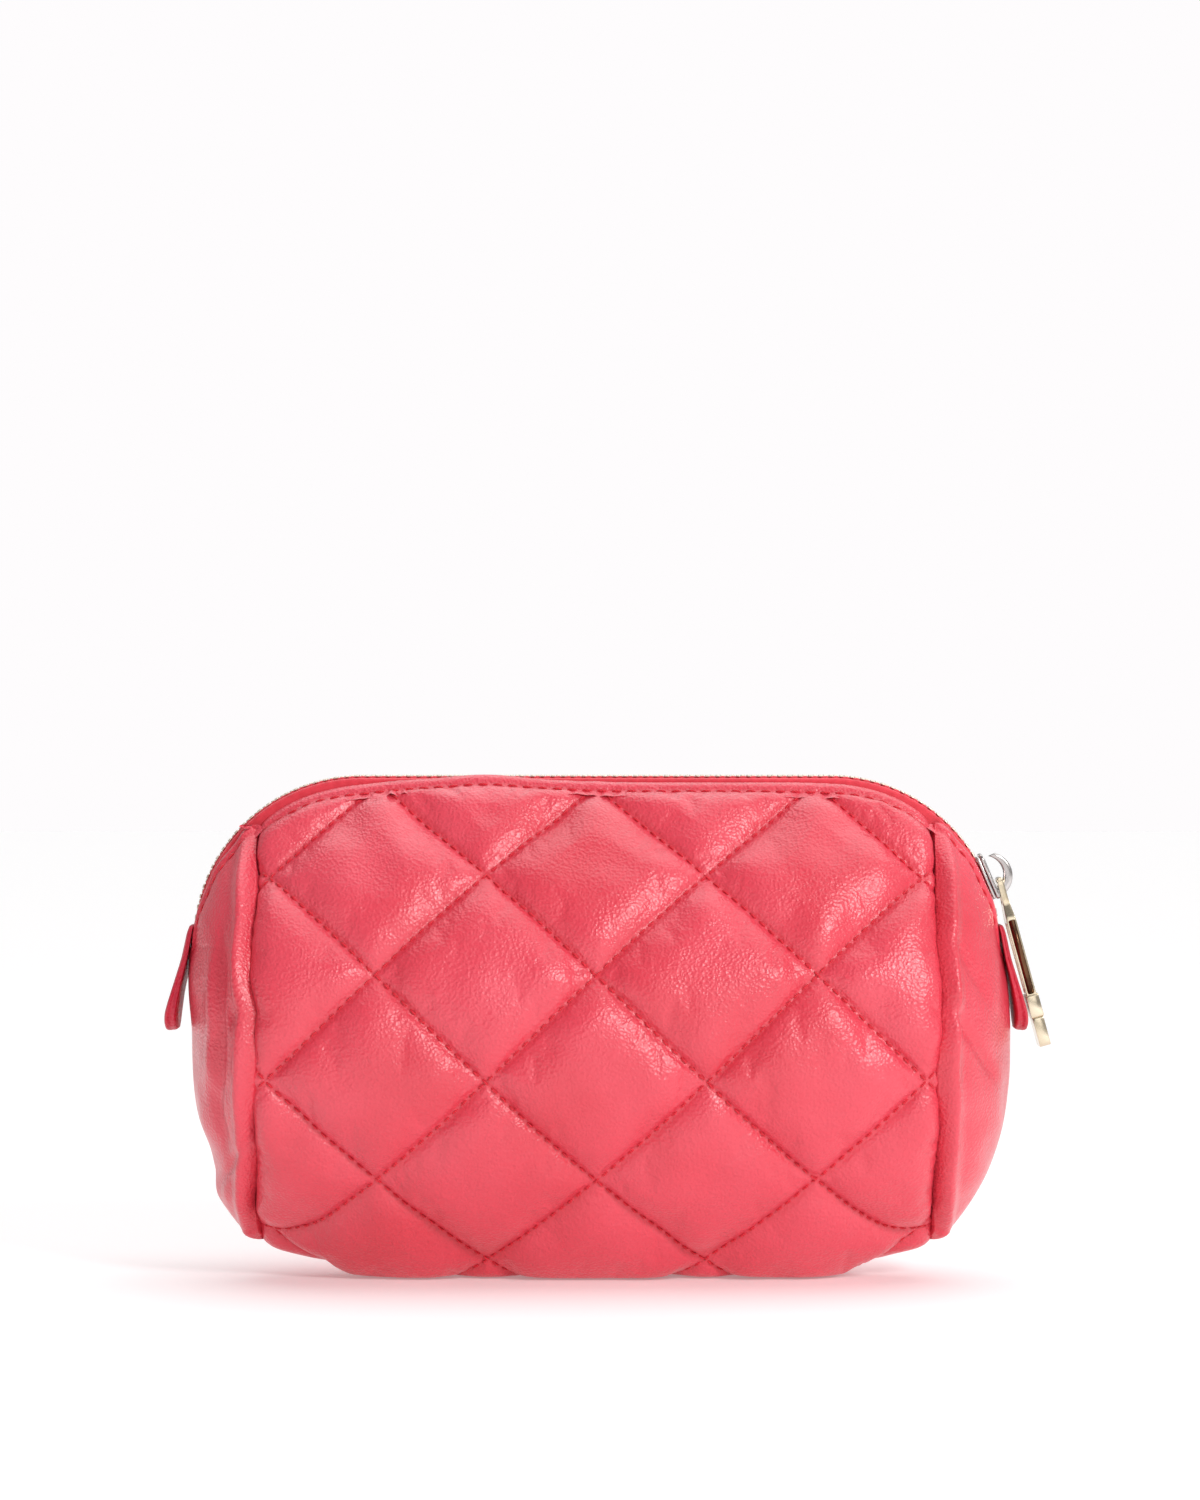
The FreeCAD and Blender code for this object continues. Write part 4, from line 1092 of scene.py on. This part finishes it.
def make_slider():
    half, tail, mouth = 5.85, 3.9, 4.3
    plate = rounded_outline([(-half, -tail), (-2.0, -tail), (half, -mouth), (half, mouth),
                             (-2.0, tail), (-half, tail)], 1.5)
    inner = rounded_outline([(-half + 0.9, -tail + 0.9), (half - 0.9, -mouth + 0.9),
                             (half - 0.9, mouth - 0.9), (-half + 0.9, tail - 0.9)], 1.0)
    parts = [solid_from_outline(plate, 0.4, 1.15), solid_from_outline(inner, 1.0, 1.35),
             solid_from_outline(plate, -4.3, -3.4)]
    for side in (-1, 1):
        lip = [(-half + 0.5, side * 3.3), (half - 0.5, side * 3.3), (half - 0.5, side * mouth),
               (-half + 0.5, side * tail)]
        lip = lip[::-1] if side < 0 else lip
        parts.append(solid_from_outline(lip, -0.55, 0.2))
        parts.append(solid_from_outline(lip, -3.25, -2.35))
    wedge = [(1.9, 0), (3.5, -1.0), (half - 0.2, -1.0), (half - 0.2, 1.0), (3.5, 1.0)]
    parts.append(solid_from_outline(wedge, -3.3, 0.3))
    points, faces = merge(parts)
    body = make_object("zip_slider_body", slider_points(points), faces, NICKEL, "zip_slider")
    bevelled(body, 0.28, 3)
    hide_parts("slider_body")
    make_bridge()


def arc_between(start, end, radius, count):
    """Points of the short arc from start to end that bulges up."""
    start, end = np.array(start, float), np.array(end, float)
    chord = end - start
    middle = (start + end) / 2
    across = np.array([-chord[1], chord[0]]) / np.linalg.norm(chord)
    if across[1] > 0:
        across = -across
    centre = middle + across * math.sqrt(radius ** 2 - (np.linalg.norm(chord) / 2) ** 2)
    first = math.atan2(*(start - centre)[::-1])
    last = math.atan2(*(end - centre)[::-1])
    angles = np.linspace(first, last, count)
    return centre + radius * np.stack([np.cos(angles), np.sin(angles)], axis=1)


def make_bridge():
    outer = arc_between((5.75, 1.1), (-4.6, 4.3), 5.75, 25)
    inner = arc_between((3.8, 1.1), (-4.5, 2.55), 4.62, 25)
    rows = []
    width = 1.1
    ring = rounded_outline([(-width, 0), (width, 0), (width, 1), (-width, 1)], 0.4, 3)
    for over, under in zip(outer, inner):
        rows.append([(under[0] + (over - under)[0] * up, across, under[1] + (over - under)[1] * up)
                     for across, up in ring])
    points = [point for row in rows for point in row]
    faces = tube_faces(len(rows), len(rows[0]))
    bridge = make_object("zip_slider_bridge", slider_points(points), faces, NICKEL, "zip_slider")
    bevelled(bridge, 0.2, 2, 50)
    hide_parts("slider_bridge")


def divided(outline, step=1.2):
    """An outline with its long sides divided."""
    finer = []
    for k, here in enumerate(outline):
        after = outline[(k + 1) % len(outline)]
        count = max(1, int(math.dist(here, after) / step))
        start, way = np.array(here), np.array(after) - np.array(here)
        finer += [tuple(start + way * t / count) for t in range(count)]
    return finer


def plate_with_holes(outer, holes, thickness):
    """Points and faces of a flat plate with openings, standing half each side of its plane."""
    work = bmesh.new()
    edges = []
    for loop in [outer] + holes:
        made = [work.verts.new((x, y, -thickness / 2)) for x, y in loop]
        edges += [work.edges.new((made[k], made[(k + 1) % len(made)])) for k in range(len(made))]
    bmesh.ops.triangle_fill(work, use_beauty=True, use_dissolve=False, edges=edges)
    lifted = bmesh.ops.extrude_face_region(work, geom=list(work.faces))
    moved = [item for item in lifted["geom"] if isinstance(item, bmesh.types.BMVert)]
    bmesh.ops.translate(work, verts=moved, vec=(0, 0, thickness))
    bmesh.ops.recalc_face_normals(work, faces=work.faces)
    work.verts.index_update()
    points = [tuple(v.co) for v in work.verts]
    faces = [tuple(v.index for v in face.verts) for face in work.faces]
    work.free()
    return points, faces


def pull_points(points):
    """From the pull's own frame, X down the pull and Z through it, to the bag's."""
    pin = slider_points([(PULL_PIN[0], 0, PULL_PIN[1])])[0]
    return placed(points, pin, math.pi / 2 - PULL_TILT)


def make_pull():
    eye, wide = 2.9, 4.2
    frame_outline = rounded_outline([(-0.6, -eye), (5.5, -eye), (9.6, -wide), (29.5, -wide),
                                     (29.5, wide), (9.6, wide), (5.5, eye), (-0.6, eye)], 1.0)
    holes = [divided(rounded_box(1.0, 6.0, 1.5, 1.1)), divided(rounded_box(10.5, 28.0, 2.3, 1.2))]
    plate, plate_faces = plate_with_holes(divided(frame_outline), holes, 1.0)
    plate = np.array(plate)
    plate[:, 2] *= 1.5 + (2.35 - 1.5) * smooth(3.5, 11.0, plate[:, 0])
    gold_parts = [(plate, plate_faces)]
    gold_parts.append(plate_with_holes(rounded_box(28.6, 34.2, 4.5, 0.5), [], 3.1))
    gold_parts.append(plate_with_holes(rounded_box(33.8, 41.5, wide, 1.1), [], 2.7))
    points, faces = merge(gold_parts)
    pull = make_object("long_zip_pull", pull_points(points), faces, GOLD, "zip_pull")
    bevelled(pull, 0.3, 3)
    angles = np.linspace(0, 2 * math.pi, 17)[:-1]
    bar = [(0.85 * math.cos(a), y, 0.85 * math.sin(a)) for y in (-2.85, 2.85) for a in angles]
    pin = make_object("pull_eye_bar", pull_points(bar), prism_faces(16), GOLD, "zip_pull")
    bevelled(pin, 0.15, 2)
    # dark gold bands along the pull's two narrow sides, over the length of its long opening
    strips = []
    for side in (-1, 1):
        y0, y1 = side * (wide - 0.25), side * (wide + 0.07)
        strip = rounded_box(9.8, 28.4, 0.82, 0.5)
        strips.append(([(x, y, z) for y in (y0, y1) for x, z in strip], prism_faces(len(strip))))
    points, faces = merge(strips)
    side_bands = make_object("pull_side_bands", pull_points(points), faces, BRONZE, "zip_pull")
    tidy_normals(side_bands)
    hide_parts("zip_pull")


# ---------------- end tabs

TAB_LINE = [  # height, out from the bag's middle and thickness of a tab's middle line, top to end
    (85.6, 98.15, 1.0), (83.6, 98.75, 1.35), (80.5, 99.35, 1.5), (77.5, 99.95, 1.55),
    (74.0, 100.8, 1.9), (70.5, 101.6, 2.3), (67.0, 102.35, 2.9), (64.0, 102.95, 3.4),
    (61.8, 103.1, 3.5), (59.9, 102.9, 3.0)]
TAB_HALF = 9.0


def make_tab(name, end):
    line = np.array(TAB_LINE)
    steps = 44
    around = 56
    share = np.linspace(0, 1, len(line))
    even = np.linspace(0, 1, steps)
    z, x, thick = (np.interp(even, share, line[:, k]) for k in range(3))
    for values in (z, x, thick):
        values[1:-1] = (values[:-2] + 2 * values[1:-1] + values[2:]) / 4
    fall = z[0] - z
    to_end = z - z[-1]
    half = TAB_HALF * np.sqrt(np.clip(1 - (np.maximum(6.6 - to_end, 0) / 6.75) ** 2, 0.02, 1))
    half = half * (0.93 + 0.07 * smooth(0, 8, fall))
    slope_x, slope_z = np.gradient(x), np.gradient(z)
    reach = np.hypot(slope_x, slope_z)
    out_x, out_z = -slope_z / reach, slope_x / reach
    rings = []
    for k in range(steps):
        body = thick[k] * (0.55 if k in (0, steps - 1) else 1.0)
        ring = []
        for a in np.linspace(0, 2 * math.pi, around + 1)[:-1]:
            c, s = math.cos(a), math.sin(a)
            across = half[k] * math.copysign(abs(c) ** 0.42, c)
            through = body / 2 * math.copysign(abs(s) ** 0.42, s)
            groove = 0.22 * body * hump(through, 0, 0.16 * body) * (abs(c) > 0.9)
            across -= math.copysign(groove, across)
            sewn = 0.16 * hump(abs(across), half[k] - 1.7, 0.5) * (abs(c) < 0.97)
            through -= math.copysign(sewn, through)
            bend = -0.6 * (across / TAB_HALF) ** 2 * (1 - smooth(6, 20, fall[k]))
            ring.append((end * (x[k] + out_x[k] * through + bend), across, z[k] + out_z[k] * through))
        rings.append(ring)
    points = np.array(rings).reshape(-1, 3)
    tab = make_object(name + "_leather_tab", points, tube_faces(steps, around), CRIMSON)
    tidy_normals(tab)
    smoothing = tab.modifiers.new("smoothing", "SUBSURF")
    smoothing.levels = 1
    apply_modifiers(tab)
    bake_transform(tab)
    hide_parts(name + "_end_tab")


# ---------------- camera, light and floor

WORLD_FRONT = 0.17       # light from behind the camera and the left, where the room is dim
WORLD_BACK = 0.52        # light from the bright end of the room
WORLD_SLANT = 0.7        # how much brighter the right of the room is
FLOOR_GLOW = 0.21
SKY_LIGHT = 1.6
LAMPS = [  # name, place in metres, width in metres, watts
    ("key_light", (0.66, -0.95, 0.62), 0.30, 7.6),
    ("fill_light", (-0.80, -0.80, 0.35), 0.5, 0.3),
    ("front_light", (0.1, -1.35, 0.40), 0.6, 1.6),
]
LIT_POINT = Vector((0, 0, 0.06))
CAMERA_PLACE = (0.0009, -1.10, 0.128)
VIEW_HEIGHT = 0.3651     # what the frame's height takes in at the bag, in metres
FLOOR_REACH = 6.0


def add_to_scene(name, data):
    holder = bpy.data.objects.new(name, data)
    bpy.context.scene.collection.objects.link(holder)
    return holder


def make_world():
    """A white backdrop for the camera, and for all else a room that is brighter behind the bag."""
    made = Nodes(bpy.data.worlds.new("studio"))
    glow = made.tree.nodes["Background"]
    direction = made.new("ShaderNodeTexCoord").outputs["Generated"]
    parts = made.new("ShaderNodeSeparateXYZ", {"Vector": direction}).outputs
    slanted = made.math("MULTIPLY_ADD", parts["X"], WORLD_SLANT, parts["Y"])
    strength = made.range(slanted, -0.9, 0.5, WORLD_FRONT, WORLD_BACK)
    made.give(glow, {"Color": (1, 0.995, 0.997, 1), "Strength": strength})
    backdrop = made.new("ShaderNodeBackground", {"Color": linear(254, 252, 253)})
    seen = made.new("ShaderNodeLightPath").outputs["Is Camera Ray"]
    choice = made.new("ShaderNodeMixShader", {"Fac": seen, 1: glow.outputs[0], 2: backdrop.outputs[0]})
    made.give(made.tree.nodes["World Output"], {"Surface": choice.outputs[0]})
    bpy.context.scene.world = made.owner


def make_setting():
    scene = bpy.context.scene
    scene.view_settings.view_transform = "Standard"
    make_world()
    far = FLOOR_REACH
    floor_mesh = bpy.data.meshes.new("floor")
    floor_mesh.from_pydata([(-far, -far, 0), (far, -far, 0), (far, far, 0), (-far, far, 0)], [],
                           [(0, 1, 2, 3)])
    pale = Nodes(bpy.data.materials.new("pale_floor"))
    floor_mesh.materials.append(pale.shade(Base_Color=(0.90, 0.895, 0.897, 1), Roughness=0.7,
                                           Emission_Color=(1, 0.985, 0.99, 1),
                                           Emission_Strength=FLOOR_GLOW))
    add_to_scene("floor", floor_mesh)
    for name, place, width, power in LAMPS:
        lamp = bpy.data.lights.new(name, "AREA")
        lamp.size = width
        lamp.energy = power
        holder = add_to_scene(name, lamp)
        holder.location = place
        holder.rotation_euler = (LIT_POINT - Vector(place)).to_track_quat("-Z", "Y").to_euler()
    sky = bpy.data.lights.new("sky_light", "SUN")
    sky.energy = SKY_LIGHT
    sky.angle = math.radians(75)
    add_to_scene("sky_light", sky).rotation_euler = (math.radians(-14), math.radians(6), 0)
    camera = bpy.data.cameras.new("camera")
    camera.lens = camera.sensor_width * -CAMERA_PLACE[1] / VIEW_HEIGHT
    camera.clip_start = 0.05
    scene.camera = add_to_scene("camera", camera)
    scene.camera.location = CAMERA_PLACE
    scene.camera.rotation_euler = (math.pi / 2, 0, 0)


make_setting()
panel_grid, panel_row, panel_edge = make_panel()
gusset_runs = make_gusset("left_end_gusset", True) + make_gusset("right_end_gusset", False)
make_linings()
make_zip()
make_slider()
make_pull()
make_tab("left", -1.0)
make_tab("right", 1.0)
make_stitches("quilting_thread", quilting_runs(panel_grid, panel_row, panel_edge), 3.0, 2.3)
make_stitches("topstitch_thread", topstitch_runs(panel_grid, panel_edge) + gusset_runs, 3.6, 2.7)

for stop in ("bottom_stop", "front_top_stop", "rear_top_stop"):
    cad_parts[stop].data.materials.clear()
    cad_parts[stop].data.materials.append(NICKEL)

bpy.context.view_layer.update()
